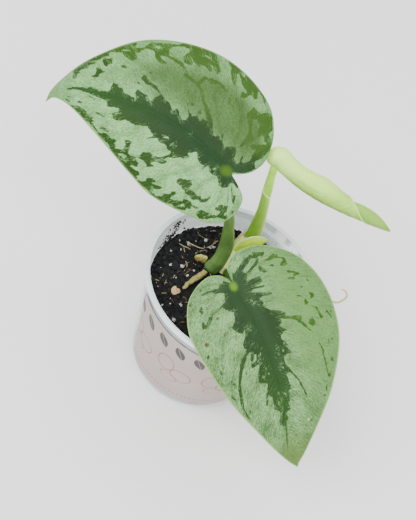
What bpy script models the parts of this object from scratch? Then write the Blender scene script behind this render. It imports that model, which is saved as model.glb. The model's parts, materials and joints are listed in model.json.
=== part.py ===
"""Potted trebie satin pothos: a young cutting with two open leaves and one rolled leaf
in a small clear nursery pot. Metres, +Z up, the origin at the centre of the pot's base."""
import math

import bmesh
import bpy
import numpy as np

MM = 0.001
GAP = 0.3
SEED = 11

# Pot, turned about Z, in millimetres
POT_HEIGHT = 54.0
BASE_RADIUS = 22.5
BASE_THICKNESS = 1.2
BASE_EDGE = 1.2
WALL_TOP_RADIUS = 28.9
WALL_THICKNESS = 0.8
NECK_HEIGHT = 50.6
NECK_RADIUS = 29.3
FLANGE_RADIUS = 30.2
FLANGE_THICKNESS = 1.3
POT_SIDES = 60
DRAIN_HOLES = 5
DRAIN_RADIUS = 1.8
DRAIN_CIRCLE = 15.0

# Label, wrapped round the wall, in millimetres and degrees
LABEL_BOTTOM = 4.6
LABEL_TOP = 48.2
LABEL_THICKNESS = 0.25
LABEL_START = -140.0
LABEL_END = 100.0
LABEL_STEPS = 48
LABEL_ROWS = 4

# Soil fill
SOIL_TOP = 45.0
SOIL_RELIEF = 0.45
SOIL_SIDES = 40
SOIL_RINGS = 11
PERLITE_COUNT = 32
PERLITE_SIZES = (0.65, 1.05)
GRAIN_SINK = 0.4
GRAIN_SPACING = 2.2
STEM_CLEARING = ((-7.0, 8.0), 8.6)
ROOT_CLEARING = ((-15.0, -8.5), (-11.5, 5.0))
BARK_CHIP = ((-14.7, -10.6, 45.2), (1.7, 1.1, 1.0))

# Paths of the stem and what grows from it, in millimetres, and the size at each point
STEM_PATH = [(-6.0, 8.7, 29.5), (-6.0, 9.5, 45.0), (-5.5, 11.3, 52.0), (-3.6, 14.2, 59.0)]
STEM_RADII = [1.6, 2.1, 2.2, 2.0]
PETIOLE_UPPER_PATH = [(-8.6, 4.6, 45.6), (-8.7, 5.6, 49.5), (-8.9, 7.2, 55.0), (-9.6, 7.8, 62.0),
                      (-11.6, 6.8, 71.0), (-14.4, 6.0, 80.0), (-17.4, 4.6, 90.0), (-18.35, 3.75, 93.5)]
PETIOLE_UPPER_WIDTHS = [3.3, 3.0, 2.5, 2.0, 1.7, 1.5, 1.4, 1.4]
PETIOLE_UPPER_DEPTHS = [1.9, 1.9, 1.8, 1.6, 1.5, 1.4, 1.3, 1.3]
PETIOLE_LOWER_PATH = [(-3.5, 6.9, 46.2), (-2.4, 2.0, 52.0), (0.2, -6.0, 60.0), (1.6, -12.2, 67.2)]
PETIOLE_LOWER_RADII = [1.7, 1.6, 1.4, 1.3]
PETIOLE_NEW_PATH = [(-2.5, 15.2, 60.0), (-2.5, 15.6, 65.0), (-3.4, 15.7, 71.0), (-5.6, 17.0, 81.0),
                    (-7.4, 16.5, 92.0)]
PETIOLE_NEW_WIDTHS = [2.2, 1.7, 1.6, 1.55, 1.35]
PETIOLE_NEW_DEPTHS = [1.8, 1.6, 1.5, 1.4, 1.2]
STEM_SIDES = 14

# Sheaths, each a trough along a path: half widths at its points, and the sideways
# directions that it starts and ends with
CATAPHYLL_PATH = [(-3.5, 8.7, 49.5), (-3.4, 9.3, 53.0), (-2.5, 10.6, 57.5), (-0.8, 12.0, 60.2),
                  (1.2, 13.6, 61.6), (3.0, 15.0, 62.3)]
CATAPHYLL_WIDTHS = [1.5, 1.9, 2.0, 1.9, 1.3, 0.4]
CATAPHYLL_SIDES = ((0.67, 0.73, -0.09), (0.50, -0.35, -0.80))
DRY_SCALE_PATH = [(-6.7, 13.6, 49.5), (-6.3, 15.0, 54.5), (-5.7, 16.9, 59.3)]
DRY_SCALE_WIDTHS = [1.4, 1.3, 0.4]
DRY_SCALE_SIDES = ((-0.95, -0.30, 0.0), (-0.95, -0.30, 0.0))
SHEATH_HALF_THICKNESS = 0.45
SHEATH_CURL = 0.35

# Roots, with the radius at each point
ROOT_THICK_PATH = [(-10.2, 1.1, 46.5), (-10.7, -1.2, 46.5), (-11.3, -3.6, 46.5), (-12.5, -8.6, 46.4)]
ROOT_THICK_RADII = [1.15, 1.15, 1.05, 0.8]
ROOT_STUB_PATH = [(-12.1, 5.9, 46.6), (-13.6, 5.4, 46.7), (-15.6, 5.0, 46.5)]
ROOT_STUB_RADII = [1.2, 1.3, 0.8]
ROOT_HOOK_PATH = [(-3.3, 10.8, 46.1), (4.0, 12.5, 48.5), (14.0, 11.5, 54.5), (24.0, 10.0, 57.5),
                  (32.5, 11.0, 57.3), (35.0, 14.0, 57.0), (35.6, 16.6, 56.8), (34.3, 18.0, 56.8), (32.9, 17.6, 57.0)]
ROOT_HOOK_RADII = [0.75, 0.7, 0.65, 0.6, 0.6, 0.55, 0.5, 0.45, 0.35]
ROOT_SIDES = 8

# Leaf blades. Outlines and midribs are in the flat blade: forward from the petiole's
# junction towards the tip, then sideways, left positive, in millimetres.
BLADE_THICKNESS = 0.7
VEIN_ROWS = 32
VEIN_STEPS = 6
FAN_SHARE = 0.27
VEIN_BOW = 0.10
RIM_TURN = 0.8
FOLD_WIDTH = 2.5

UPPER_BLADE = {
    "junction": (-18.5, 3.2, 95.0),
    "heading": 190.0,
    "pitch": -2.0,
    "roll": -34.0,
    "arch": 0.484,
    "camber": 0.010,
    "fold": 0.8,
    "tip_start": 50.0,
    "tip_drop": 0.012,
    "midrib": [(0.0, 0.0), (11.0, -4.4), (25.0, -7.7), (39.0, -8.2), (52.0, -8.0), (60.5, -6.0), (67.2, -1.0)],
    "right": [(-1.4, 0.8), (-4.0, -0.2), (-7.2, -2.5), (-9.5, -7.2), (-9.0, -15.2), (-4.6, -23.2), (4.5, -29.1),
              (16.0, -32.2), (29.3, -31.6), (41.5, -27.8), (52.2, -19.8), (60.8, -12.0), (65.9, -5.2), (67.2, -1.0)],
    "left": [(-1.4, 0.8), (-4.9, 2.5), (-7.3, 6.0), (-7.1, 10.8), (-4.3, 15.0), (0.4, 16.9), (6.9, 16.9), (19.0, 15.5),
             (27.3, 11.9), (36.0, 7.4), (45.0, 2.9), (53.0, -0.8), (59.9, -2.6), (64.8, -2.9), (67.2, -1.0)],
}
LOWER_BLADE = {
    "junction": (1.8, -12.9, 68.6),
    "heading": -32.0,
    "pitch": -18.0,
    "roll": 24.0,
    "arch": 0.484,
    "camber": 0.013,
    "fold": 0.8,
    "tip_start": 50.0,
    "tip_drop": 0.008,
    "midrib": [(0.0, 0.0), (12.0, 1.6), (24.0, 2.0), (37.0, 1.2), (49.0, -1.2), (57.0, -2.2), (65.6, -1.9)],
    "right": [(-1.3, -0.5), (-3.9, -1.3), (-5.5, -3.8), (-6.1, -7.5), (-4.3, -12.0), (-0.5, -16.0), (7.1, -18.8),
              (14.7, -18.7), (24.2, -17.1), (35.1, -14.5), (48.0, -9.7), (57.6, -5.9), (65.6, -1.9)],
    "left": [(-1.3, -0.5), (-6.0, -0.4), (-8.2, 0.9), (-10.2, 4.3), (-9.8, 11.6), (-5.3, 19.0), (0.2, 23.6),
             (8.1, 26.5), (18.0, 27.1), (29.1, 24.7), (42.5, 17.0), (53.9, 7.1), (62.2, -0.2), (65.6, -1.9)],
}

# New leaf, still rolled: its axis, then the outer radius at even steps along it
NEW_LEAF_AXIS = [(-10.0, 15.6, 96.0), (-7.4, 17.6, 95.7), (-3.6, 17.4, 95.0), (4.7, 17.2, 93.8),
                 (12.5, 18.4, 92.6), (24.6, 21.0, 90.4), (34.3, 22.7, 88.0)]
NEW_LEAF_RADII = [2.0, 3.35, 2.8, 2.7, 2.95, 3.25, 3.0, 2.7, 2.55, 2.2, 1.6, 0.9, 0.3]
NEW_LEAF_OVERLAP = 0.16
NEW_LEAF_SEAM = 150.0
NEW_LEAF_RINGS = 30
NEW_LEAF_SIDES = 24

COLOURS = {
    "pot": ((0.86, 0.89, 0.92), 0.18),
    "label": ((0.93, 0.90, 0.89), 0.55),
    "soil": ((0.035, 0.028, 0.024), 0.95),
    "stem": ((0.85, 0.82, 0.62), 0.5),
    "petiole_upper": ((0.21, 0.38, 0.10), 0.45),
    "petiole_lower": ((0.26, 0.42, 0.12), 0.45),
    "petiole_new": ((0.48, 0.60, 0.20), 0.45),
    "cataphyll": ((0.66, 0.74, 0.30), 0.45),
    "dry_scale": ((0.83, 0.72, 0.60), 0.7),
    "root_thick": ((0.62, 0.57, 0.33), 0.7),
    "root_stub": ((0.66, 0.62, 0.38), 0.7),
    "root_hook": ((0.62, 0.50, 0.34), 0.7),
    "leaf_upper": ((0.42, 0.56, 0.40), 0.4),
    "leaf_lower": ((0.40, 0.55, 0.38), 0.4),
    "leaf_new": ((0.78, 0.88, 0.58), 0.4),
}


def clear_scene():
    for item in list(bpy.data.objects):
        bpy.data.objects.remove(item, do_unlink=True)


def make_material(name):
    colour, roughness = COLOURS[name]
    material = bpy.data.materials.new(name)
    material.use_nodes = True
    shader = material.node_tree.nodes["Principled BSDF"]
    shader.inputs["Base Color"].default_value = (*colour, 1.0)
    shader.inputs["Roughness"].default_value = roughness
    shader.inputs["Metallic"].default_value = 0.0
    return material


def make_object(name, points_mm, faces):
    mesh = bpy.data.meshes.new(name)
    mesh.from_pydata((np.asarray(points_mm) * MM).tolist(), [], faces)
    mesh.update()
    piece = bpy.data.objects.new(name, mesh)
    bpy.context.scene.collection.objects.link(piece)
    if name in COLOURS:
        mesh.materials.append(make_material(name))
    return piece


def face_outwards(piece):
    shape = bmesh.new()
    shape.from_mesh(piece.data)
    bmesh.ops.recalc_face_normals(shape, faces=shape.faces)
    shape.to_mesh(piece.data)
    shape.free()


def shade(piece, angle=40.0):
    piece.data.shade_smooth()
    piece.data.set_sharp_from_angle(angle=math.radians(angle))


def smooth_through(points, count):
    """Catmull-Rom curve through the points, sampled evenly along its length."""
    points = np.asarray(points, float)
    ends = np.vstack([2 * points[0] - points[1], points, 2 * points[-1] - points[-2]])
    span = np.linspace(0.0, 1.0, 24, endpoint=False)[:, None]
    pieces = []
    for a, b, c, d in zip(ends[:-3], ends[1:-2], ends[2:-1], ends[3:]):
        pieces.append(0.5 * (2 * b + (c - a) * span + (2 * a - 5 * b + 4 * c - d) * span ** 2
                             + (3 * b - a - 3 * c + d) * span ** 3))
    dense = np.vstack(pieces + [points[-1:]])
    length = np.concatenate([[0.0], np.cumsum(np.linalg.norm(np.diff(dense, axis=0), axis=1))])
    places = np.linspace(0.0, length[-1], count)
    return np.stack([np.interp(places, length, dense[:, i]) for i in range(dense.shape[1])], axis=1)


def spread(values, count):
    """Values given at even steps, read at this many even steps."""
    return np.interp(np.linspace(0.0, len(values) - 1, count), np.arange(len(values)), values)


def path_frames(path, side_hint):
    """Tangent, sideways and upward directions along a path."""
    tangents = np.gradient(path, axis=0)
    tangents /= np.linalg.norm(tangents, axis=1, keepdims=True)
    hint = np.broadcast_to(np.asarray(side_hint, float), tangents.shape)
    sideways = hint - tangents * np.sum(tangents * hint, axis=1, keepdims=True)
    sideways /= np.linalg.norm(sideways, axis=1, keepdims=True)
    return tangents, sideways, np.cross(tangents, sideways)


def loft(name, rings, cap_start, cap_end):
    """A closed solid through equal rings of points; each cap is a fan to a point."""
    count, sides = len(rings), len(rings[0])
    points = np.vstack([np.vstack(rings), cap_start, cap_end])
    faces = []
    for i in range(count - 1):
        for j in range(sides):
            k = (j + 1) % sides
            faces.append((i * sides + j, i * sides + k, (i + 1) * sides + k, (i + 1) * sides + j))
    for j in range(sides):
        k = (j + 1) % sides
        faces.append((count * sides, k, j))
        faces.append((count * sides + 1, (count - 1) * sides + j, (count - 1) * sides + k))
    piece = make_object(name, points, faces)
    face_outwards(piece)
    shade(piece)
    return piece


def stalk(name, path, widths, depths, side_hint, rings, sides, end_round=0.35):
    """An elliptical stalk along a smooth path, its ends slightly domed."""
    centre = smooth_through(path, rings)
    widths = spread(widths, rings)
    depths = spread(depths, rings)
    tangents, sideways, upward = path_frames(centre, side_hint)
    turn = np.linspace(0.0, 2 * math.pi, sides, endpoint=False)
    ring_points = [c + np.outer(np.cos(turn), s) * w + np.outer(np.sin(turn), u) * d
                   for c, s, u, w, d in zip(centre, sideways, upward, widths, depths)]
    start = centre[0] - tangents[0] * end_round * depths[0]
    end = centre[-1] + tangents[-1] * end_round * depths[-1]
    return loft(name, ring_points, start, end)


def trough(name, path, widths, side_hints, rings, sides):
    """A curved sheath: a thin section bent round its path, drawn to a point at the far end.
    Its sideways direction turns evenly from the first hint to the second."""
    centre = smooth_through(path, rings)
    widths = spread(widths, rings)
    share = np.linspace(0.0, 1.0, rings)[:, None]
    first, second = np.asarray(side_hints)
    tangents, sideways, upward = path_frames(centre, first * (1.0 - share) + second * share)
    across = np.linspace(-1.0, 1.0, sides)
    section_side = np.concatenate([across, across[::-1]])
    bend = SHEATH_CURL * (section_side ** 2 - 1.0)
    skin = np.concatenate([np.full(sides, SHEATH_HALF_THICKNESS), np.full(sides, -SHEATH_HALF_THICKNESS)])
    taper = np.sqrt(np.clip(1.0 - np.abs(section_side) ** 3, 0.12, 1.0))
    ring_points = [c + np.outer(section_side * w, s) + np.outer(bend * w + skin * taper, u)
                   for c, s, u, w in zip(centre, sideways, upward, widths)]
    start = ring_points[0].mean(axis=0) - tangents[0] * 0.1
    end = ring_points[-1].mean(axis=0) + tangents[-1] * 0.4
    return loft(name, ring_points, start, end)


def turned(name, profile, sides):
    """A closed profile of (radius, height) points turned about Z; points on the axis close it."""
    turn = np.linspace(0.0, 2 * math.pi, sides, endpoint=False)
    points, rows = [], []
    for radius, height in profile:
        if radius == 0.0:
            rows.append([len(points)] * sides)
            points.append((0.0, 0.0, height))
        else:
            rows.append(list(range(len(points), len(points) + sides)))
            points.extend(zip(radius * np.cos(turn), radius * np.sin(turn), [height] * sides))
    faces = []
    for i in range(len(profile)):
        low, high = rows[i], rows[(i + 1) % len(profile)]
        if low[0] == low[1] and high[0] == high[1]:
            continue
        for j in range(sides):
            k = (j + 1) % sides
            face = list(dict.fromkeys((low[j], low[k], high[k], high[j])))
            faces.append(tuple(face))
    piece = make_object(name, points, faces)
    face_outwards(piece)
    return piece


def wall_radius(height):
    """The wall's outer radius at a height."""
    share = (height - BASE_EDGE) / (NECK_HEIGHT - BASE_EDGE)
    return BASE_RADIUS + (WALL_TOP_RADIUS - BASE_RADIUS) * share


def make_pot():
    inner_floor = wall_radius(BASE_THICKNESS + 1.0) - WALL_THICKNESS
    profile = [(0.0, 0.0), (BASE_RADIUS - BASE_EDGE, 0.0), (BASE_RADIUS - 0.3, 0.35), (BASE_RADIUS, BASE_EDGE),
               (WALL_TOP_RADIUS, NECK_HEIGHT), (NECK_RADIUS, NECK_HEIGHT + 0.6),
               (NECK_RADIUS, POT_HEIGHT - FLANGE_THICKNESS), (FLANGE_RADIUS, POT_HEIGHT - FLANGE_THICKNESS + 0.2),
               (FLANGE_RADIUS, POT_HEIGHT - 0.3), (FLANGE_RADIUS - 0.4, POT_HEIGHT),
               (NECK_RADIUS - WALL_THICKNESS + 0.2, POT_HEIGHT), (NECK_RADIUS - WALL_THICKNESS, POT_HEIGHT - 0.4),
               (NECK_RADIUS - WALL_THICKNESS, NECK_HEIGHT + 0.6), (WALL_TOP_RADIUS - WALL_THICKNESS, NECK_HEIGHT),
               (inner_floor, BASE_THICKNESS + 0.9), (inner_floor - 0.9, BASE_THICKNESS), (0.0, BASE_THICKNESS)]
    pot = turned("pot", profile, POT_SIDES)
    turn = np.linspace(0.0, 2 * math.pi, 16, endpoint=False)
    circle = DRAIN_RADIUS * np.stack([np.cos(turn), np.sin(turn), 0 * turn], axis=1)
    cutters = []
    for index in range(DRAIN_HOLES):
        angle = 2 * math.pi * index / DRAIN_HOLES + math.radians(18)
        centre = np.array([DRAIN_CIRCLE * math.cos(angle), DRAIN_CIRCLE * math.sin(angle), 0.0])
        start = centre - (0.0, 0.0, BASE_THICKNESS)
        end = centre + (0.0, 0.0, 2 * BASE_THICKNESS)
        cutters.append(loft(f"drain_cutter_{index}", [circle + start, circle + end], start, end))
    apply_boolean(pot, "DIFFERENCE", cutters)
    shade(pot, 30.0)
    return pot


def make_label():
    """A thin strip on the wall's cone, between two heights and two angles."""
    turn = np.radians(np.linspace(LABEL_START, LABEL_END, LABEL_STEPS + 1))
    heights = np.linspace(LABEL_BOTTOM, LABEL_TOP, LABEL_ROWS + 1)
    facet_bulge = 1.0 / math.cos(math.pi / POT_SIDES)
    rings = []
    for angle in turn:
        inner = [(wall_radius(z) * facet_bulge + GAP, z) for z in heights]
        outer = [(radius + LABEL_THICKNESS, z) for radius, z in reversed(inner)]
        rings.append(np.array([(r * math.cos(angle), r * math.sin(angle), z) for r, z in inner + outer]))
    sides = len(rings[0])
    points = np.vstack(rings)
    faces = []
    for i in range(LABEL_STEPS):
        for j in range(sides):
            k = (j + 1) % sides
            faces.append((i * sides + j, i * sides + k, (i + 1) * sides + k, (i + 1) * sides + j))
    last = LABEL_STEPS * sides
    for i in range(LABEL_ROWS):
        faces.append((i, i + 1, sides - 2 - i, sides - 1 - i))
        faces.append((last + i, last + sides - 1 - i, last + sides - 2 - i, last + i + 1))
    label = make_object("label", points, faces)
    face_outwards(label)
    shade(label)
    return label


def soil_relief(x, y):
    """Lumps on the soil, which fade out where the stem and roots lie and at the pot's wall."""
    lumps = (np.sin(0.55 * x + 1.1) * np.cos(0.47 * y - 0.6) + 0.6 * np.sin(1.05 * x - 0.83 * y + 2.0)
             + 0.4 * np.cos(1.6 * y + 0.9 * x))
    plant = np.clip((np.hypot(x + 7.5, y - 6.5) - 8.0) / 5.0, 0.0, 1.0)
    root = np.clip((np.hypot(x + 11.4, np.clip(np.abs(y + 4.0) - 5.0, 0.0, None)) - 1.8) / 2.5, 0.0, 1.0)
    return SOIL_RELIEF * (lumps * plant * root - 0.5 * (1.0 - plant * root))


def make_soil():
    top_radius = wall_radius(SOIL_TOP) - WALL_THICKNESS - GAP
    floor = BASE_THICKNESS + GAP
    floor_radius = wall_radius(floor) - WALL_THICKNESS - GAP - 1.2
    turn = np.linspace(0.0, 2 * math.pi, SOIL_SIDES, endpoint=False)
    points = [(0.0, 0.0, SOIL_TOP + float(soil_relief(0.0, 0.0)))]
    for ring in range(1, SOIL_RINGS + 1):
        radius = top_radius * ring / SOIL_RINGS
        x, y = radius * np.cos(turn), radius * np.sin(turn)
        points.extend(zip(x, y, SOIL_TOP + soil_relief(x, y)))
    for radius, height in ((wall_radius(floor + 2) - WALL_THICKNESS - GAP, floor + 2), (floor_radius, floor)):
        points.extend(zip(radius * np.cos(turn), radius * np.sin(turn), [height] * SOIL_SIDES))
    points.append((0.0, 0.0, floor))
    faces = []
    for j in range(SOIL_SIDES):
        k = (j + 1) % SOIL_SIDES
        faces.append((0, 1 + j, 1 + k))
        for ring in range(SOIL_RINGS + 1):
            low = 1 + ring * SOIL_SIDES
            high = low + SOIL_SIDES
            faces.append((low + j, high + j, high + k))
            faces.append((low + j, high + k, low + k))
        last = 1 + (SOIL_RINGS + 1) * SOIL_SIDES
        faces.append((last + j, len(points) - 1, last + k))
    soil = make_object("soil", points, faces)
    face_outwards(soil)
    cut_hole(soil)
    fuse_grains(soil, top_radius)
    shade(soil, 60.0)
    return soil


def cut_hole(soil):
    """The plain hole that the stem stands in."""
    centre = smooth_through(STEM_PATH, 12)
    inside = centre[centre[:, 2] <= SOIL_TOP + 3.0]
    start = inside[0] - (0.0, 0.0, 1.0)
    end = inside[-1]
    radius = max(STEM_RADII) + 2 * GAP
    turn = np.linspace(0.0, 2 * math.pi, 16, endpoint=False)
    circle = np.stack([radius * np.cos(turn), radius * np.sin(turn), 0 * turn], axis=1)
    cutter = loft("stem_hole_cutter", [circle + start, circle + end], start, end)
    apply_boolean(soil, "DIFFERENCE", [cutter])


def apply_boolean(piece, operation, others):
    """One Boolean of a piece with a collection of others, applied, with the others removed."""
    group = bpy.data.collections.new(piece.name + "_" + operation.lower())
    for other in others:
        group.objects.link(other)
    change = piece.modifiers.new(operation.lower(), "BOOLEAN")
    change.operation = operation
    change.solver = "MANIFOLD"
    change.operand_type = "COLLECTION"
    change.collection = group
    bpy.context.view_layer.update()
    evaluated = piece.evaluated_get(bpy.context.evaluated_depsgraph_get())
    mesh = bpy.data.meshes.new_from_object(evaluated)
    piece.modifiers.clear()
    piece.data = mesh
    for other in list(group.objects):
        bpy.data.objects.remove(other, do_unlink=True)
    bpy.data.collections.remove(group)


def grain(name, centre, size, seed_turn):
    """A rough grain with few sides."""
    shape = bmesh.new()
    bmesh.ops.create_icosphere(shape, subdivisions=1, radius=1.0)
    points = np.array([vertex.co for vertex in shape.verts])
    wobble = 1.0 + 0.18 * np.sin(points @ np.array([3.1, 4.7, 2.3]) + seed_turn)
    points = points * wobble[:, None] * np.asarray(size) + np.asarray(centre)
    faces = [[vertex.index for vertex in face.verts] for face in shape.faces]
    shape.free()
    return make_object(name, points, faces)


def fuse_grains(soil, top_radius):
    """Perlite grains and the bark chip, sunk halfway into the soil by a seeded rule."""
    random = np.random.default_rng(SEED)
    grains = [grain("bark_chip", BARK_CHIP[0], BARK_CHIP[1], 0.4)]
    taken = [np.array(BARK_CHIP[0][:2])]
    (stem_x, stem_y), stem_reach = STEM_CLEARING
    (root_left, root_right), (root_front, root_back) = ROOT_CLEARING
    while len(grains) <= PERLITE_COUNT:
        angle = random.uniform(0.0, 2 * math.pi)
        reach = (top_radius - 1.6) * math.sqrt(random.uniform(0.0, 1.0))
        size = random.uniform(*PERLITE_SIZES)
        x, y = reach * math.cos(angle), reach * math.sin(angle)
        near_plant = math.hypot(x - stem_x, y - stem_y) < stem_reach
        near_root = root_left < x < root_right and root_front < y < root_back
        crowded = min(np.hypot(*(other - (x, y))) for other in taken) < GRAIN_SPACING
        if near_plant or near_root or crowded:
            continue
        height = SOIL_TOP + float(soil_relief(x, y)) - GRAIN_SINK
        grains.append(grain(f"grain_{len(grains)}", (x, y, height), (size, size * 0.85, size * 0.8), angle * 5))
        taken.append(np.array((x, y)))
    apply_boolean(soil, "UNION", grains)


def turn_about(axis, degrees):
    angle = math.radians(degrees)
    c, s = math.cos(angle), math.sin(angle)
    if axis == "x":
        return np.array([[1, 0, 0], [0, c, -s], [0, s, c]])
    if axis == "y":
        return np.array([[c, 0, s], [0, 1, 0], [-s, 0, c]])
    return np.array([[c, -s, 0], [s, c, 0], [0, 0, 1]])


def blade_place(blade, forward, sideways, share):
    """Flat blade places to the arched blade in the room. The blade arches along its length,
    droops at its tip, is cambered across, sinks at the midrib and turns down at the margin."""
    midrib = smooth_through(blade["midrib"], 80)
    offset = sideways - np.interp(forward, midrib[:, 0], midrib[:, 1])
    beyond = np.clip(forward - blade["tip_start"], 0.0, None)
    lift = (-0.5 * blade["camber"] * offset ** 2 + blade["fold"] * (1.0 - np.exp(-np.abs(offset) / FOLD_WIDTH))
            - blade["tip_drop"] * beyond ** 2 - RIM_TURN * share ** 6)
    rate = math.radians(blade["arch"])
    along = np.sin(rate * forward) / rate + lift * np.sin(rate * forward)
    height = -(1.0 - np.cos(rate * forward)) / rate + lift * np.cos(rate * forward)
    turn = turn_about("z", blade["heading"]) @ turn_about("y", -blade["pitch"]) @ turn_about("x", blade["roll"])
    local = np.stack([along, sideways, height], axis=-1)
    return np.asarray(blade["junction"]) + local @ turn.T


def blade_half(blade, side):
    """Rows of veins from the midrib to one margin. The first rows fan out from the junction."""
    margin = smooth_through(blade[side], VEIN_ROWS + 1)
    start_share = np.clip((np.linspace(0.0, 1.0, VEIN_ROWS + 1) - FAN_SHARE) / (1.0 - FAN_SHARE), 0.0, 1.0)
    midrib = smooth_through(blade["midrib"], 80)
    starts = np.stack([np.interp(start_share, np.linspace(0.0, 1.0, 80), midrib[:, i]) for i in (0, 1)], axis=1)
    share = np.linspace(0.0, 1.0, VEIN_STEPS + 1)[None, :, None]
    run = margin - starts
    middle = starts + 0.5 * run - VEIN_BOW * np.linalg.norm(run, axis=1, keepdims=True) * np.array([1.0, 0.0])
    flat = ((1 - share) ** 2 * starts[:, None] + 2 * share * (1 - share) * middle[:, None]
            + share ** 2 * margin[:, None])
    return blade_place(blade, flat[..., 0], flat[..., 1], np.broadcast_to(share[..., 0], flat.shape[:2]))


def make_blade(name, blade):
    """Both halves as one sheet, given its thickness below, with the same triangles on both faces."""
    shape = bmesh.new()
    for side, flip in (("left", False), ("right", True)):
        grid = blade_half(blade, side)
        corners = [[shape.verts.new(point * MM) for point in row] for row in grid]
        for i in range(VEIN_ROWS):
            for j in range(VEIN_STEPS):
                quad = [corners[i][j], corners[i][j + 1], corners[i + 1][j + 1], corners[i + 1][j]]
                for triangle in ((quad[0], quad[1], quad[2]), (quad[0], quad[2], quad[3])):
                    shape.faces.new(triangle[::-1] if flip else triangle)
    bmesh.ops.remove_doubles(shape, verts=shape.verts, dist=1e-6)
    bmesh.ops.dissolve_degenerate(shape, edges=shape.edges, dist=1e-6)
    shape.verts.ensure_lookup_table()
    shape.normal_update()
    top = list(shape.verts)
    triangles = list(shape.faces)
    rim = [edge for edge in shape.edges if edge.is_boundary]
    below = {vertex: shape.verts.new(vertex.co - vertex.normal * BLADE_THICKNESS * MM) for vertex in top}
    for face in triangles:
        shape.faces.new([below[vertex] for vertex in reversed(face.verts)])
    for edge in rim:
        a, b = edge.verts
        shape.faces.new((a, b, below[b]))
        shape.faces.new((a, below[b], below[a]))
    bmesh.ops.recalc_face_normals(shape, faces=shape.faces)
    mesh = bpy.data.meshes.new(name)
    shape.to_mesh(mesh)
    shape.free()
    mesh.materials.append(make_material(name))
    piece = bpy.data.objects.new(name, mesh)
    bpy.context.scene.collection.objects.link(piece)
    shade(piece, 50.0)
    return piece


def make_new_leaf():
    """The rolled leaf: a spindle whose section grows over one turn, so the outer edge
    stands proud of the layer that it laps."""
    centre = smooth_through(NEW_LEAF_AXIS, NEW_LEAF_RINGS)
    radii = spread(NEW_LEAF_RADII, NEW_LEAF_RINGS)
    tangents, sideways, upward = path_frames(centre, (0.0, 1.0, 0.0))
    share = np.linspace(0.0, 1.0, NEW_LEAF_SIDES)
    turn = 2 * math.pi * share * (1.0 - 0.5 / NEW_LEAF_SIDES) + math.radians(NEW_LEAF_SEAM)
    swell = 1.0 - NEW_LEAF_OVERLAP * (1.0 - share)
    ring_points = [c + np.outer(np.cos(turn) * swell * r, s) + np.outer(np.sin(turn) * swell * r, u)
                   for c, s, u, r in zip(centre, sideways, upward, radii)]
    start = centre[0] - tangents[0] * 0.7
    end = centre[-1] + tangents[-1] * 1.2
    return loft("leaf_new", ring_points, start, end)


def make_stems():
    stalk("stem", STEM_PATH, STEM_RADII, STEM_RADII, (1.0, 0.0, 0.0), 12, STEM_SIDES, 0.1)
    stalk("petiole_upper", PETIOLE_UPPER_PATH, PETIOLE_UPPER_WIDTHS, PETIOLE_UPPER_DEPTHS,
          (0.86, 0.51, 0.0), 24, STEM_SIDES, 0.1)
    stalk("petiole_lower", PETIOLE_LOWER_PATH, PETIOLE_LOWER_RADII, PETIOLE_LOWER_RADII,
          (1.0, 0.0, 0.0), 14, STEM_SIDES, 0.1)
    stalk("petiole_new", PETIOLE_NEW_PATH, PETIOLE_NEW_WIDTHS, PETIOLE_NEW_DEPTHS,
          (0.85, 0.3, 0.0), 18, STEM_SIDES, 0.1)
    trough("cataphyll", CATAPHYLL_PATH, CATAPHYLL_WIDTHS, CATAPHYLL_SIDES, 16, 7)
    trough("dry_scale", DRY_SCALE_PATH, DRY_SCALE_WIDTHS, DRY_SCALE_SIDES, 9, 7)


def make_roots():
    stalk("root_thick", ROOT_THICK_PATH, ROOT_THICK_RADII, ROOT_THICK_RADII, (1.0, 0.0, 0.0), 12, ROOT_SIDES)
    stalk("root_stub", ROOT_STUB_PATH, ROOT_STUB_RADII, ROOT_STUB_RADII, (0.0, 1.0, 0.0), 8, ROOT_SIDES, 0.6)
    stalk("root_hook", ROOT_HOOK_PATH, ROOT_HOOK_RADII, ROOT_HOOK_RADII, (0.0, 0.0, 1.0), 44, ROOT_SIDES)


def main():
    clear_scene()
    make_pot()
    make_label()
    make_soil()
    make_stems()
    make_roots()
    make_blade("leaf_upper", UPPER_BLADE)
    make_blade("leaf_lower", LOWER_BLADE)
    make_new_leaf()


main()
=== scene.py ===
import json
import logging
import math
from dataclasses import dataclass, field
from enum import Enum

import bmesh
import bpy
import numpy as np
from mathutils import Matrix

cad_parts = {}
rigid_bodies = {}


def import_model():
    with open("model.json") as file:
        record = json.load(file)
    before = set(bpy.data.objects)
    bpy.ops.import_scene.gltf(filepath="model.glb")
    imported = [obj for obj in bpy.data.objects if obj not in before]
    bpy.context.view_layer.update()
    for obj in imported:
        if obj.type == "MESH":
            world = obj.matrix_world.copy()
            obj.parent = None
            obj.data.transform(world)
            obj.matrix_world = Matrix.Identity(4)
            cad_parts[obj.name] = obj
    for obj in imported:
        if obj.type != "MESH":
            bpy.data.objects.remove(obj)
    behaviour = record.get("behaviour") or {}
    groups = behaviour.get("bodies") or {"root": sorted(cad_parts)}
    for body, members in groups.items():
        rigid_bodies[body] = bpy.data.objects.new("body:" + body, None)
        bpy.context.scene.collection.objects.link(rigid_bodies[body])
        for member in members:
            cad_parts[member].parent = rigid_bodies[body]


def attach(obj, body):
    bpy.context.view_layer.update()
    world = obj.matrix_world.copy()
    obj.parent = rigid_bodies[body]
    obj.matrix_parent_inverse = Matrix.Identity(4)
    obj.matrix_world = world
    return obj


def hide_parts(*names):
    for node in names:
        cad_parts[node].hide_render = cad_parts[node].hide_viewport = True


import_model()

MM = 0.001  # metres in a millimetre
WELD = 1e-4  # millimetres within which points fall together
Array = np.ndarray
Path = list[tuple[float, ...]]
Place = tuple[float, float, float]
Outlines = list[Path]
Tone = tuple[float, float, float, float]
Piece = bpy.types.Object
Material = bpy.types.Material

log = logging.getLogger("pothos")


# Shapes


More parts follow.
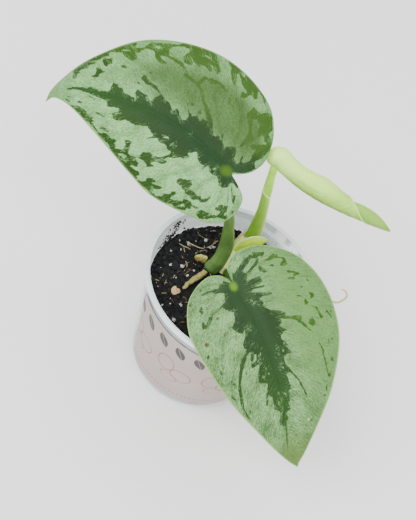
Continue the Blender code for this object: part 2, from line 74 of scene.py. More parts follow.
def way_along(path: Array) -> Array:
    """How far along a path each of its places lies."""
    return np.concatenate([[0.0], np.cumsum(np.linalg.norm(np.diff(path, axis=0), axis=1))])


def together(*parts: Array) -> Array:
    """Arrays brought to one shape and laid side by side on a new last axis."""
    return np.stack(np.broadcast_arrays(*parts), axis=-1)


def turned(reach: Array, angle: Array, height: Array) -> Array:
    """Places at a reach and an angle round Z, and at a height."""
    return together(reach * np.cos(angle), reach * np.sin(angle), height)


def domed(way: Array) -> Array:
    """The width of a round end as a quarter circle: 0 at its tip, 1 where way is 1 or more."""
    return np.sqrt(np.clip(1 - (1 - np.clip(way, 0, 1)) ** 2, 0, 1))


def swept(centre: Array, sideways: Array, upward: Array, across: Array, over: Array) -> Array:
    """Rings across and over along a path's own directions, one for each of its places."""
    return centre[:, None] + across[..., None] * sideways[:, None] + over[..., None] * upward[:, None]


def smooth_through(points: Path, count: int) -> Array:
    """A Catmull-Rom curve through the points, read at even steps of its length.

    Args:
        points: the places that the curve passes through, of any dimension.
        count: how many places are read.

    Returns:
        An array of count places.
    """
    knots = np.asarray(points, float)
    ends = np.vstack([2 * knots[0] - knots[1], knots, 2 * knots[-1] - knots[-2]])
    span = np.linspace(0.0, 1.0, 24, endpoint=False)[:, None]
    parts = [0.5 * (2 * b + (c - a) * span + (2 * a - 5 * b + 4 * c - d) * span ** 2
                    + (3 * b - a - 3 * c + d) * span ** 3)
             for a, b, c, d in zip(ends[:-3], ends[1:-2], ends[2:-1], ends[3:])]
    dense = np.vstack(parts + [knots[-1:]])
    length = way_along(dense)
    places = np.linspace(0.0, length[-1], count)
    return np.stack([np.interp(places, length, dense[:, i]) for i in range(dense.shape[1])], axis=1)


def spread(values: list[float] | tuple[float, ...], count: int) -> Array:
    """Values given at even steps, read at count even steps with a smooth run between them."""
    line = smooth_through([(float(i), float(v)) for i, v in enumerate(values)], 12 * len(values))
    return np.interp(np.linspace(0.0, len(values) - 1, count), line[:, 0], line[:, 1])


def path_frames(path: Array, hint: Array) -> tuple[Array, Array, Array]:
    """Tangent, sideways and upward directions along a path.

    Args:
        path: places along the path.
        hint: a sideways direction, one for all or one for each place; what lies along the
            tangent is taken off it.

    Returns:
        Three arrays of unit directions.
    """
    tangents = np.gradient(path, axis=0)
    tangents /= np.linalg.norm(tangents, axis=1, keepdims=True)
    sideways = np.broadcast_to(np.asarray(hint, float), tangents.shape)
    sideways = sideways - tangents * np.sum(tangents * sideways, axis=1, keepdims=True)
    sideways /= np.linalg.norm(sideways, axis=1, keepdims=True)
    return tangents, sideways, np.cross(tangents, sideways)


def grid_triangles(rows: int, columns: int, closed: bool = False) -> Array:
    """Two triangles for each cell of a grid of points kept row by row.

    Args:
        rows: points down the grid.
        columns: points across it.
        closed: joins the last column to the first.

    Returns:
        An array of point numbers, three to a triangle.
    """
    i, j = np.meshgrid(np.arange(rows - 1), np.arange(columns if closed else columns - 1), indexing="ij")
    k = (j + 1) % columns
    a, b, c, d = (i * columns + j), (i * columns + k), ((i + 1) * columns + k), ((i + 1) * columns + j)
    return np.concatenate([np.stack([a, b, c], -1).reshape(-1, 3), np.stack([a, c, d], -1).reshape(-1, 3)])


def lumps(places: Array, size: float, seed: int, waves: int = 9) -> Array:
    """Soft lumps between about -1 and 1: a sum of sine waves in seeded directions, each wave
    as long as the size times 0.7 to 1.4, divided by the root of their number.

    Args:
        places: an array whose last axis holds the coordinates, in millimetres.
        size: the length of a lump.
        seed: picks the directions.
        waves: how many sine waves are added.

    Returns:
        One number for each place.
    """
    random = np.random.default_rng(seed)
    heading = random.normal(size=(waves, places.shape[-1]))
    rate = math.tau / (size * random.uniform(0.7, 1.4, (waves, 1)))
    heading *= rate / np.linalg.norm(heading, axis=1, keepdims=True)
    return np.sin(places @ heading.T + random.uniform(0, math.tau, waves)).sum(axis=-1) / math.sqrt(waves)


def soft_step(value: Array, low: float, high: float) -> Array:
    """0 below low, 1 above high, and a smooth 3t^2 - 2t^3 between them."""
    t = np.clip((value - low) / (high - low), 0.0, 1.0)
    return t * t * (3 - 2 * t)


def depth_inside(places: Array, outline: Path) -> Array:
    """How deep each flat place lies inside an outline: its distance to the nearest edge,
    positive inside and negative outside.

    Args:
        places: flat places, two numbers each.
        outline: the corners of a closed outline in order, in tenths of a millimetre.

    Returns:
        One distance for each place.
    """
    corners = np.asarray(outline, float) / 10
    following = np.roll(corners, -1, axis=0)
    nearest = np.full(len(places), 1e9)
    inside = np.zeros(len(places), bool)
    for (ax, ay), (bx, by) in zip(corners, following):
        dx, dy = bx - ax, by - ay
        x, y = places[:, 0] - ax, places[:, 1] - ay
        t = np.clip((x * dx + y * dy) / max(dx * dx + dy * dy, 1e-9), 0.0, 1.0)
        nearest = np.minimum(nearest, (x - t * dx) ** 2 + (y - t * dy) ** 2)
        if ay != by:
            crosses = (places[:, 1] < ay) != (places[:, 1] < by)
            inside ^= crosses & (places[:, 0] < ax + y / dy * dx)
    return np.where(inside, 1.0, -1.0) * np.sqrt(nearest)


@dataclass
class Surface:
    """Points in millimetres, triangles over them and the values that its finish reads.

    Attributes:
        points: places, three numbers each.
        faces: point numbers, three to a triangle.
        values: numbers or triples for each point, by name.
        finish_index: the material of each triangle.
    """

    points: Array
    faces: Array
    values: dict[str, Array] = field(default_factory=dict)
    finish_index: Array | None = None

    def __post_init__(self) -> None:
        """Gives every triangle the first material unless told otherwise."""
        if self.finish_index is None:
            self.finish_index = np.zeros(len(self.faces), int)

    @classmethod
    def wrapped(cls, points: Array, **values: Array) -> "Surface":
        """A surface over a grid whose last column joins its first.

        Args:
            points: the grid's places, row by row.
            values: numbers or triples for each of them.

        Returns:
            The surface.
        """
        rows, columns = points.shape[:2]
        flat = {key: value.reshape(rows * columns, *value.shape[2:]) for key, value in values.items()}
        return cls(points.reshape(-1, 3), grid_triangles(rows, columns, True), flat)

    def __add__(self, other: "Surface") -> "Surface":
        """Both surfaces, which carry the same values, as one."""
        both = {key: np.concatenate([value, other.values[key]]) for key, value in self.values.items()}
        return Surface(np.vstack([self.points, other.points]),
                       np.vstack([self.faces, other.faces + len(self.points)]), both,
                       np.concatenate([self.finish_index, other.finish_index]))

    def welded(self) -> "Surface":
        """Points that fall together become one, and triangles that collapse go."""
        keys = np.round(self.points / WELD).astype(np.int64)
        _, first, inverse = np.unique(keys, axis=0, return_index=True, return_inverse=True)
        faces = inverse.reshape(-1)[self.faces]
        keep = (faces[:, 0] != faces[:, 1]) & (faces[:, 1] != faces[:, 2]) & (faces[:, 0] != faces[:, 2])
        return Surface(self.points[first], faces[keep], {k: v[first] for k, v in self.values.items()},
                       self.finish_index[keep])

    def mesh(self, name: str) -> bpy.types.Mesh:
        """The surface as a mesh in metres, with its faces turned outwards.

        Args:
            name: the mesh's name.

        Returns:
            The mesh, without materials.
        """
        mesh = bpy.data.meshes.new(name)
        mesh.from_pydata((self.points * MM).tolist(), [], self.faces.tolist())
        shape = bmesh.new()
        shape.from_mesh(mesh)
        bmesh.ops.recalc_face_normals(shape, faces=shape.faces)
        shape.to_mesh(mesh)
        shape.free()
        return mesh

    def piece(self, name: str, finishes: list["Finish"], slot: str, nodes: list[str],
              smooth: bool = True) -> Piece:
        """The surface as an object that rides on the part.

        Args:
            name: the piece's name.
            finishes: its materials, in the order of finish_index.
            slot: the record's material slot; not used.
            nodes: the CAD nodes that it stands for.
            smooth: shades it smooth and not flat.

        Returns:
            The object.
        """
        whole = self.welded()
        mesh = whole.mesh(name)
        for key, value in whole.values.items():
            kind, part = ("FLOAT", "value") if value.ndim == 1 else ("FLOAT_VECTOR", "vector")
            layer = mesh.attributes.new(key, kind, "POINT")
            layer.data.foreach_set(part, value.astype(np.float32).ravel())
        for finish in finishes:
            mesh.materials.append(finish.material())
        mesh.polygons.foreach_set("material_index", whole.finish_index.astype(np.int32))
        if smooth:
            mesh.shade_smooth()
        obj = bpy.data.objects.new(name, mesh)
        bpy.context.scene.collection.objects.link(obj)
        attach(obj, "root")
        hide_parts(*nodes)
        return obj


# Shader expressions


def tint(red: float, green: float, blue: float) -> Tone:
    """A colour as seen on a screen, 0 to 255, as linear light."""
    linear = [((c / 255 + 0.055) / 1.055) ** 2.4 if c > 10.3 else c / 255 / 12.92 for c in (red, green, blue)]
    return (*linear, 1.0)


class Sock:
    """A socket that takes part in Python expressions on numbers."""

    def __init__(self, paint: "Paint", socket: bpy.types.NodeSocket) -> None:
        """Wraps a socket of a material that is being painted."""
        self.paint = paint
        self.socket = socket

    def math(self, operation: str, *others: "Sock | float") -> "Sock":
        """A Math node on this value and the others."""
        inputs = dict(enumerate((self, *others)))
        return self.paint.node("ShaderNodeMath", {"operation": operation}, inputs)

    def __add__(self, other: "Sock | float") -> "Sock":
        """self + other."""
        return self.math("ADD", other)

    def __sub__(self, other: "Sock | float") -> "Sock":
        """self - other."""
        return self.math("SUBTRACT", other)

    def __rsub__(self, other: float) -> "Sock":
        """other - self."""
        return self.paint.node("ShaderNodeMath", {"operation": "SUBTRACT"}, {0: other, 1: self})

    def __mul__(self, other: "Sock | float") -> "Sock":
        """self * other."""
        return self.math("MULTIPLY", other)

    def __truediv__(self, other: "Sock | float") -> "Sock":
        """self / other."""
        return self.math("DIVIDE", other)

    def __pow__(self, other: "Sock | float") -> "Sock":
        """self to the power of other."""
        return self.math("POWER", other)

    def __abs__(self) -> "Sock":
        """The size of self without its sign."""
        return self.math("ABSOLUTE")

    __radd__ = __add__

    def step(self, low: float, high: float) -> "Sock":
        """0 below low, 1 above high and smooth between, or the other way round if low is more."""
        return self.paint.node("ShaderNodeMapRange", {"interpolation_type": "SMOOTHSTEP"},
                               {"Value": self, "From Min": low, "From Max": high})

    def bell(self, centre: float, width: float) -> "Sock":
        """1 at the centre, falling off as exp(-(x/width)^2)."""
        away = (self - centre) / width
        return (away * away * -1.0).math("EXPONENT")


class Paint:
    """One material's nodes, written as expressions."""

    def __init__(self, name: str) -> None:
        """A new material with a Principled shader."""
        self.material = bpy.data.materials.new(name)
        self.material.use_nodes = True
        self.tree = self.material.node_tree
        self.shader = self.tree.nodes["Principled BSDF"]
        metres = self.node("ShaderNodeTexCoord", {}, {}, "Object")
        self.place = self.node("ShaderNodeVectorMath", {"operation": "SCALE"}, {0: metres, "Scale": 1 / MM})

    def feed(self, socket: bpy.types.NodeSocket, value: "Sock | float | tuple") -> None:
        """Links an input to another node's output, or sets its value.

        Args:
            socket: the input.
            value: the output or the value.
        """
        if isinstance(value, Sock):
            self.tree.links.new(value.socket, socket)
        else:
            socket.default_value = value

    def node(self, kind: str, settings: dict, inputs: dict, output: str | int = 0) -> Sock:
        """Adds a node.

        Args:
            kind: Blender's name of the node's type.
            settings: its properties.
            inputs: values or links by socket name or number.
            output: the output that is returned.

        Returns:
            The chosen output.
        """
        node = self.tree.nodes.new(kind)
        for key, value in settings.items():
            setattr(node, key, value)
        for key, value in inputs.items():
            self.feed(node.inputs[key], value)
        return Sock(self, node.outputs[output])

    def value(self, name: str) -> Sock:
        """A number that the mesh carries for each point."""
        return self.node("ShaderNodeAttribute", {"attribute_name": name}, {}, "Fac")

    def triple(self, name: str) -> Sock:
        """A triple that the mesh carries for each point."""
        return self.node("ShaderNodeAttribute", {"attribute_name": name}, {}, "Vector")

    def parts(self, triple: Sock) -> tuple[Sock, Sock, Sock]:
        """The three numbers of a triple."""
        split = self.node("ShaderNodeSeparateXYZ", {}, {0: triple})
        return tuple(Sock(self, output) for output in split.socket.node.outputs)

    def stretched(self, triple: Sock, x: float, y: float, z: float = 1.0) -> Sock:
        """A triple with each of its numbers scaled."""
        return self.node("ShaderNodeVectorMath", {"operation": "MULTIPLY"}, {0: triple, 1: (x, y, z)})

    def noise(self, place: Sock, scale: float, detail: float, rough: float) -> Sock:
        """Smooth noise around 0, from about -0.5 to 0.5, with scale cells to a millimetre."""
        inputs = {"Vector": place, "Scale": scale, "Detail": detail, "Roughness": rough}
        return self.node("ShaderNodeTexNoise", {}, inputs) - 0.5

    def cells(self, place: Sock, scale: float) -> Sock:
        """The distance to the nearest of scattered points, with scale of them to a millimetre."""
        return self.node("ShaderNodeTexVoronoi", {}, {"Vector": place, "Scale": scale}, "Distance")

    def mix(self, factor: "Sock | float", low: "Sock | tuple", high: "Sock | tuple") -> Sock:
        """A colour from low to high by the factor."""
        return self.node("ShaderNodeMix", {"data_type": "RGBA"}, {0: factor, 6: low, 7: high}, 2)

    def brighter(self, colour: Sock, factor: "Sock | float") -> Sock:
        """A colour with its light scaled by a number."""
        return self.node("ShaderNodeVectorMath", {"operation": "SCALE"}, {0: colour, "Scale": factor})

    def bump(self, height: Sock, strength: float) -> None:
        """Relief from a height in millimetres."""
        normal = self.node("ShaderNodeBump", {}, {"Height": height, "Distance": MM, "Strength": strength})
        self.feed(self.shader.inputs["Normal"], normal)

    def dress(self, colour: Sock, roughness: Sock | float, shine: float,
              **others: Sock | float) -> Material:
        """Sets the shader's inputs.

        Args:
            colour: the base colour.
            roughness: how dull it is.
            shine: the level of its mirror light.
            others: further inputs, an underscore standing for a space.

        Returns:
            The material.
        """
        inputs = {"Base Color": colour, "Roughness": roughness, "Specular IOR Level": shine, **others}
        for key, value in inputs.items():
            self.feed(self.shader.inputs[key.replace("_", " ")], value)
        return self.material


# Leaf patches

# The upper leaf's dark green patches in its flat blade, in tenths of a millimetre.
UPPER_DARK: Outlines = [
    # centre
    [(-62, 36), (-55, 40), (-50, 37), (-44, 42), (-30, 32), (-22, 33), (-17, 50), (-3, 57), (10, 52),
     (22, 30), (45, 30), (56, 11), (64, 13), (70, 26), (73, 22), (70, 15), (82, 16), (93, 6), (104, -12),
     (110, -14), (128, -1), (123, 9), (129, 15), (179, 32), (196, 44), (188, 46), (181, 42), (178, 46),
     (181, 52), (198, 59), (206, 55), (218, 58), (223, 62), (222, 68), (207, 73), (231, 81), (240, 69),
     (266, 64), (258, 43), (238, 38), (225, 46), (202, 40), (175, 17), (179, 12), (187, 13), (202, 0),
     (222, -2), (232, -12), (260, 1), (247, -8), (248, -16), (270, -30), (275, -37), (279, -31), (300, -29),
     (310, -23), (342, -28), (365, -19), (378, -18), (386, -21), (394, -36), (376, -42), (380, -55),
     (420, -50), (420, -56), (432, -67), (550, -70), (565, -68), (582, -59), (586, -64), (562, -77),
     (510, -83), (504, -89), (465, -87), (438, -92), (432, -97), (430, -123), (415, -122), (412, -116),
     (396, -116), (382, -105), (348, -101), (344, -94), (339, -93), (339, -102), (349, -116), (350, -129),
     (316, -121), (306, -116), (298, -104), (292, -105), (286, -122), (275, -134), (281, -140), (308, -151),
     (330, -152), (348, -161), (352, -167), (344, -179), (322, -162), (295, -155), (255, -125), (239, -124),
     (222, -104), (217, -102), (209, -114), (202, -112), (197, -106), (199, -99), (183, -86), (175, -89),
     (170, -96), (169, -104), (177, -124), (158, -109), (146, -116), (134, -103), (130, -105), (129, -112),
     (115, -113), (103, -99), (170, -194), (202, -209), (232, -214), (234, -224), (228, -227), (186, -211),
     (172, -239), (163, -238), (159, -232), (168, -225), (173, -207), (159, -193), (138, -162), (128, -155),
     (103, -125), (79, -78), (71, -78), (64, -85), (61, -79), (48, -72), (30, -43), (34, -54), (29, -61),
     (6, -71), (0, -63), (-4, -34), (-16, -26), (-22, -30), (-23, -54), (-28, -50), (-27, -40), (-32, -34),
     (-49, -46), (-52, -52), (-50, -63), (-56, -84), (-53, -89), (-48, -84), (-40, -86), (-36, -92),
     (-39, -98), (-77, -114), (-76, -121), (-70, -119), (-64, -134), (-58, -137), (-52, -136), (-50, -128),
     (-45, -128), (-36, -166), (-18, -176), (-13, -170), (-21, -134), (-37, -113), (-9, -76), (-7, -80),
     (-17, -132), (11, -178), (10, -185), (2, -192), (1, -208), (-22, -195), (-30, -196), (-46, -208),
     (-60, -206), (-67, -198), (-80, -164), (-74, -145), (-90, -128), (-94, -100), (-83, -76), (-64, -52),
     (-74, -32), (-52, -12), (-14, 4), (-20, 10), (-36, 14), (-52, 24)],
    # lobe
    [(-52, 132), (-49, 140), (-26, 142), (14, 164), (26, 166), (38, 158), (39, 152), (32, 141), (24, 139),
     (14, 144), (6, 139), (-2, 144), (-22, 138), (-26, 124), (-10, 124), (-7, 119), (-13, 116), (-20, 104),
     (-39, 102), (-44, 118), (-38, 124), (-40, 130), (-48, 128)],
    # lobe inner
    [(16, 97), (23, 112), (30, 118), (42, 119), (48, 115), (64, 122), (79, 114), (90, 115), (97, 103),
     (106, 103), (111, 97), (129, 91), (129, 84), (124, 78), (91, 70), (83, 83), (90, 94), (84, 98),
     (64, 100), (62, 106), (46, 104), (42, 110), (34, 109), (24, 102), (22, 96)],
    # left margin
    [(39, 139), (58, 137), (62, 142), (59, 149), (64, 152), (72, 150), (76, 160), (108, 165), (112, 159),
     (124, 156), (160, 162), (182, 156), (191, 152), (194, 146), (244, 132), (250, 126), (316, 99),
     (352, 78), (370, 59), (416, 39), (444, 21), (546, -16), (510, -21), (478, -13), (484, -8), (450, -2),
     (453, 4), (444, 6), (452, 12), (418, 33), (406, 32), (402, 28), (389, 30), (379, 32), (368, 43),
     (364, 37), (354, 37), (350, 42), (356, 49), (349, 54), (348, 61), (319, 60), (318, 40), (322, 30),
     (310, 25), (303, 29), (304, 50), (300, 64), (278, 67), (275, 72), (258, 80), (261, 92), (280, 90),
     (284, 96), (248, 104), (247, 112), (256, 114), (247, 126), (224, 123), (219, 120), (220, 113),
     (214, 108), (202, 107), (192, 110), (189, 115), (198, 116), (202, 121), (162, 121), (168, 127),
     (190, 132), (190, 140), (178, 151), (156, 146), (154, 137), (136, 130), (132, 122), (124, 119),
     (119, 122), (130, 142), (120, 146), (92, 138), (91, 130), (82, 127), (64, 132), (60, 139), (48, 142)],
    [(-55, 89), (-49, 87), (-29, 46), (-43, 70), (-46, 64), (-50, 64)],
    [(-36, 92), (-32, 82), (-26, 63), (-29, 66), (-34, 80)],
    [(-63, 104), (-59, 110), (-54, 122), (-57, 120), (-62, 112)],
    [(386, 25), (410, 19), (422, 23), (406, 15), (384, 22)], [(412, -15), (448, -18), (444, -21)],
    [(466, -55), (496, -61), (488, -64), (468, -60)],
    [(502, -34), (512, -32), (522, -33), (514, -38), (504, -36)],
    [(552, -26), (564, -27), (576, -32), (566, -33), (556, -30)],
    [(554, -41), (566, -38), (570, -40), (562, -43), (553, -42)],
    [(138, -124), (146, -123), (146, -132), (142, -136), (137, -130)],
    [(163, -133), (176, -142), (175, -149), (169, -146)],
    [(342, -145), (350, -146), (358, -149), (354, -152), (346, -148)],
    [(324, -188), (334, -187), (339, -190), (329, -191)],
    [(408, -179), (420, -178), (430, -181), (422, -186), (410, -184)],
    [(481, -129), (500, -119), (512, -122), (499, -130), (502, -146), (509, -152), (496, -154), (480, -147),
     (470, -148), (482, -140), (485, -134)],
    [(468, -169), (478, -165), (485, -167), (499, -179), (500, -185), (469, -196), (462, -181), (474, -173)],
    # right margin
    [(562, -103), (578, -100), (583, -118), (592, -124), (556, -164), (482, -234), (460, -250), (418, -270),
     (416, -260), (424, -252), (410, -250), (385, -262), (376, -282), (292, -304), (282, -310), (278, -319),
     (204, -324), (180, -322), (166, -314), (132, -268), (140, -264), (135, -253), (158, -276), (170, -282),
     (174, -278), (163, -272), (159, -264), (162, -256), (184, -270), (196, -268), (198, -260), (220, -268),
     (230, -280), (239, -278), (224, -266), (224, -258), (230, -253), (240, -254), (248, -256), (256, -272),
     (254, -282), (247, -290), (246, -298), (252, -304), (276, -304), (304, -294), (310, -279), (302, -260),
     (252, -254), (226, -231), (260, -246), (306, -255), (329, -250), (314, -240), (296, -238), (300, -231),
     (318, -229), (339, -243), (350, -259), (378, -262), (392, -249), (392, -242), (410, -232), (394, -224),
     (394, -216), (402, -207), (440, -217), (446, -224), (484, -216), (488, -209), (485, -201), (506, -190),
     (506, -184), (514, -178), (536, -170), (542, -162), (518, -169), (522, -162), (540, -152), (536, -146),
     (552, -139), (564, -126), (554, -123), (564, -120), (567, -112)],
    # right base
    [(76, -246), (84, -249), (105, -282), (108, -294), (128, -314), (110, -322), (58, -306), (20, -287),
     (-18, -256), (-29, -242), (-29, -232), (-12, -252), (2, -261), (4, -252), (-3, -236), (6, -232),
     (19, -242), (34, -220), (49, -220), (48, -239), (40, -236), (32, -238), (36, -246), (46, -249),
     (62, -262), (65, -272), (83, -294), (84, -280)],
    [(66, -182), (82, -203), (78, -204), (72, -198)],
    [(49, -76), (53, -80), (57, -92), (54, -94), (50, -86)],
    [(92, -217), (126, -232), (146, -222), (154, -228), (156, -236), (150, -241), (114, -237), (102, -230)],
]
# Silver islands inside them.
UPPER_LIGHT: Outlines = [
    [(296, 89), (306, 90), (318, 79), (330, 78), (336, 73), (306, 69), (300, 73), (306, 78)],
    [(80, 150), (90, 154), (100, 152), (88, 142), (82, 142)],
    [(33, 11), (38, 19), (43, 15), (40, 8), (32, 6)], [(172, -12), (192, -5), (193, -9)],
    [(198, -21), (208, -20), (220, -16), (216, -21), (204, -24)],
    [(139, -57), (146, -55), (148, -59), (142, -61)],
    [(334, -272), (344, -268), (354, -270), (363, -278), (342, -282), (335, -279)],
    [(422, -236), (462, -226), (444, -236), (428, -240)],
    [(430, -248), (444, -242), (440, -248), (426, -252)],
    [(170, -293), (186, -296), (202, -302), (200, -305), (180, -302)],
    [(58, -282), (68, -285), (80, -300), (70, -299), (60, -292)],
]
# The lower leaf's dark green patches.
LOWER_DARK: Outlines = [
    # centre
    [(-49, 22), (-69, 56), (-76, 76), (-74, 86), (-84, 90), (-77, 92), (-69, 123), (-63, 122), (-59, 112),
     (-63, 102), (-36, 64), (-28, 42), (-36, 36), (-62, 72), (-64, 80), (-56, 99), (-38, 86), (-22, 46),
     (-4, 34), (-3, 78), (4, 82), (13, 80), (21, 52), (28, 82), (32, 81), (26, 46), (32, 30), (58, 95),
     (62, 94), (58, 56), (64, 54), (78, 61), (80, 54), (86, 56), (106, 70), (122, 102), (133, 114),
     (136, 106), (143, 110), (160, 154), (169, 154), (173, 148), (214, 169), (220, 167), (166, 134),
     (154, 118), (140, 84), (154, 92), (160, 74), (186, 100), (183, 90), (190, 72), (200, 70), (231, 82),
     (236, 77), (252, 84), (254, 78), (250, 72), (256, 56), (276, 53), (354, 79), (400, 83), (412, 81),
     (346, 74), (310, 58), (309, 50), (314, 44), (352, 45), (361, 42), (362, 34), (398, 28), (399, 22),
     (410, 18), (424, 20), (432, 4), (444, 1), (476, 10), (456, 0), (460, -6), (560, -32), (540, -32),
     (472, -15), (464, -16), (472, -21), (458, -30), (452, -28), (450, -35), (442, -20), (424, -14),
     (410, -19), (406, -29), (366, -22), (352, -32), (386, -46), (382, -51), (322, -22), (315, -24),
     (302, -48), (298, -42), (274, -37), (254, -22), (248, -24), (252, -50), (238, -44), (239, -34),
     (234, -26), (218, -20), (214, -26), (236, -42), (228, -44), (202, -32), (209, -49), (236, -70),
     (282, -96), (344, -114), (354, -112), (374, -116), (416, -111), (402, -117), (352, -122), (298, -111),
     (268, -98), (230, -80), (218, -69), (212, -72), (212, -64), (196, -46), (190, -44), (182, -50),
     (174, -49), (148, -28), (135, -46), (110, -64), (109, -56), (96, -45), (68, -36), (62, -49), (50, -61),
     (42, -62), (44, -76), (56, -98), (53, -99), (33, -52), (8, -42), (2, -46), (-4, -66), (-12, -76),
     (-16, -88), (-14, -110), (-17, -111), (-21, -88), (-15, -54), (-26, -44), (-24, -38), (-32, -30),
     (-12, -5), (-42, 4), (-42, 12)],
    [(54, -98), (65, -108), (82, -134), (84, -142), (79, -147), (62, -138), (64, -134), (75, -132),
     (56, -112), (59, -108), (52, -100)],
    [(17, -122), (24, -123), (30, -129), (33, -122), (39, -132), (26, -134)],
    [(23, -108), (31, -107), (29, -112), (25, -111)], [(119, -88), (124, -86), (130, -92), (124, -91)],
    [(-6, -146), (0, -152), (2, -157), (-4, -153)],
    [(164, -157), (172, -158), (179, -163), (174, -167), (168, -164)],
    [(268, -122), (282, -113), (289, -116), (271, -125)],
    [(222, -142), (232, -138), (242, -143), (234, -145), (224, -145)],
    [(312, -138), (322, -136), (329, -130), (338, -130), (324, -139), (314, -141)],
    [(378, -102), (392, -100), (394, -103), (382, -105)], [(256, -68), (264, -69), (268, -73), (260, -72)],
    [(-56, 150), (-49, 153), (-45, 160), (-39, 156), (-32, 174), (-24, 178), (-7, 176), (-8, 152),
     (-21, 162), (-22, 170), (-29, 170), (-34, 162), (-40, 144), (-37, 136), (-44, 110), (-46, 126)],
    [(-25, 129), (-20, 135), (-16, 134), (-18, 126), (-22, 122)],
    [(-34, 92), (-16, 102), (-9, 110), (-8, 99), (-18, 88), (-30, 87)],
    [(12, 170), (21, 190), (25, 192), (23, 172), (17, 166), (13, 166)],
    [(27, 192), (38, 209), (36, 190), (45, 178), (37, 160), (35, 168), (39, 176)],
    [(62, 218), (67, 225), (68, 220), (65, 216)], [(74, 190), (79, 198), (82, 193), (78, 188)],
    [(102, 208), (108, 218), (116, 222), (123, 216), (125, 208), (120, 202), (116, 210)],
    [(115, 189), (131, 196), (134, 186), (128, 178)],
    [(94, 169), (100, 178), (106, 182), (102, 174), (97, 166)],
    [(150, 216), (160, 214), (184, 218), (192, 224), (196, 218), (194, 210), (172, 213), (152, 209)],
    [(176, 240), (204, 252), (206, 248), (178, 237)], [(180, 256), (188, 257), (194, 254), (186, 252)],
    [(178, 186), (196, 193), (204, 188), (202, 182), (210, 178), (189, 170), (192, 176), (184, 174),
     (182, 180), (186, 185)],
    [(258, 180), (294, 185), (304, 180), (372, 175), (368, 182), (385, 181), (384, 174), (378, 170),
     (290, 180), (274, 181), (264, 177)],
    [(325, 200), (330, 204), (342, 203), (334, 195)], [(268, 228), (274, 229), (276, 224), (270, 224)],
    [(266, 214), (276, 214), (280, 210), (268, 211)], [(342, 150), (349, 148), (346, 146)],
    [(404, 156), (414, 154), (424, 150), (418, 148), (408, 152)],
    [(430, 138), (434, 142), (439, 138), (434, 134)], [(460, 120), (465, 123), (468, 118), (463, 117)],
    [(488, 76), (493, 76), (492, 68), (488, 69)],
]
# Silver islands inside them.
LOWER_LIGHT: Outlines = [
    [(50, 22), (72, 32), (81, 52), (70, 38), (52, 27)], [(134, -5), (142, -8), (146, -12), (138, -9)],
    [(125, -18), (142, -29), (148, -27), (150, -31), (140, -34)], [(184, -22), (189, -23), (186, -26)],
    [(214, -4), (224, -7), (231, -12), (226, -15), (218, -10)], [(268, -8), (273, -6), (270, -11)],
    [(284, -6), (294, -5), (290, -9)], [(278, -12), (298, -22), (294, -29), (286, -28), (290, -22)],
    [(234, 40), (242, 43), (250, 46), (244, 48), (236, 44)],
    [(214, 53), (224, 52), (232, 55), (226, 50), (218, 49)], [(234, 64), (239, 66), (241, 61), (236, 59)],
    [(274, 36), (282, 42), (292, 45), (286, 39), (282, 33)], [(366, 20), (380, 23), (376, 16), (368, 16)],
    [(382, 1), (392, 6), (390, 1)], [(354, 2), (368, 6), (370, 2), (358, -3)],
    [(384, -6), (398, -8), (410, -6), (402, -12), (390, -12)],
]


# Finishes


@dataclass(frozen=True)
class Finish:
    """What a surface is made of."""

    name: str

    def material(self) -> Material:
        """The finish as a material, made once."""
        made = bpy.data.materials.get(self.name)
        return made if made else self.paint(Paint(self.name))

    def paint(self, paint: Paint) -> Material:
        """Fills in the material's nodes.

        Args:
            paint: the new material.

        Returns:
            The finished material.
        """
        raise NotImplementedError


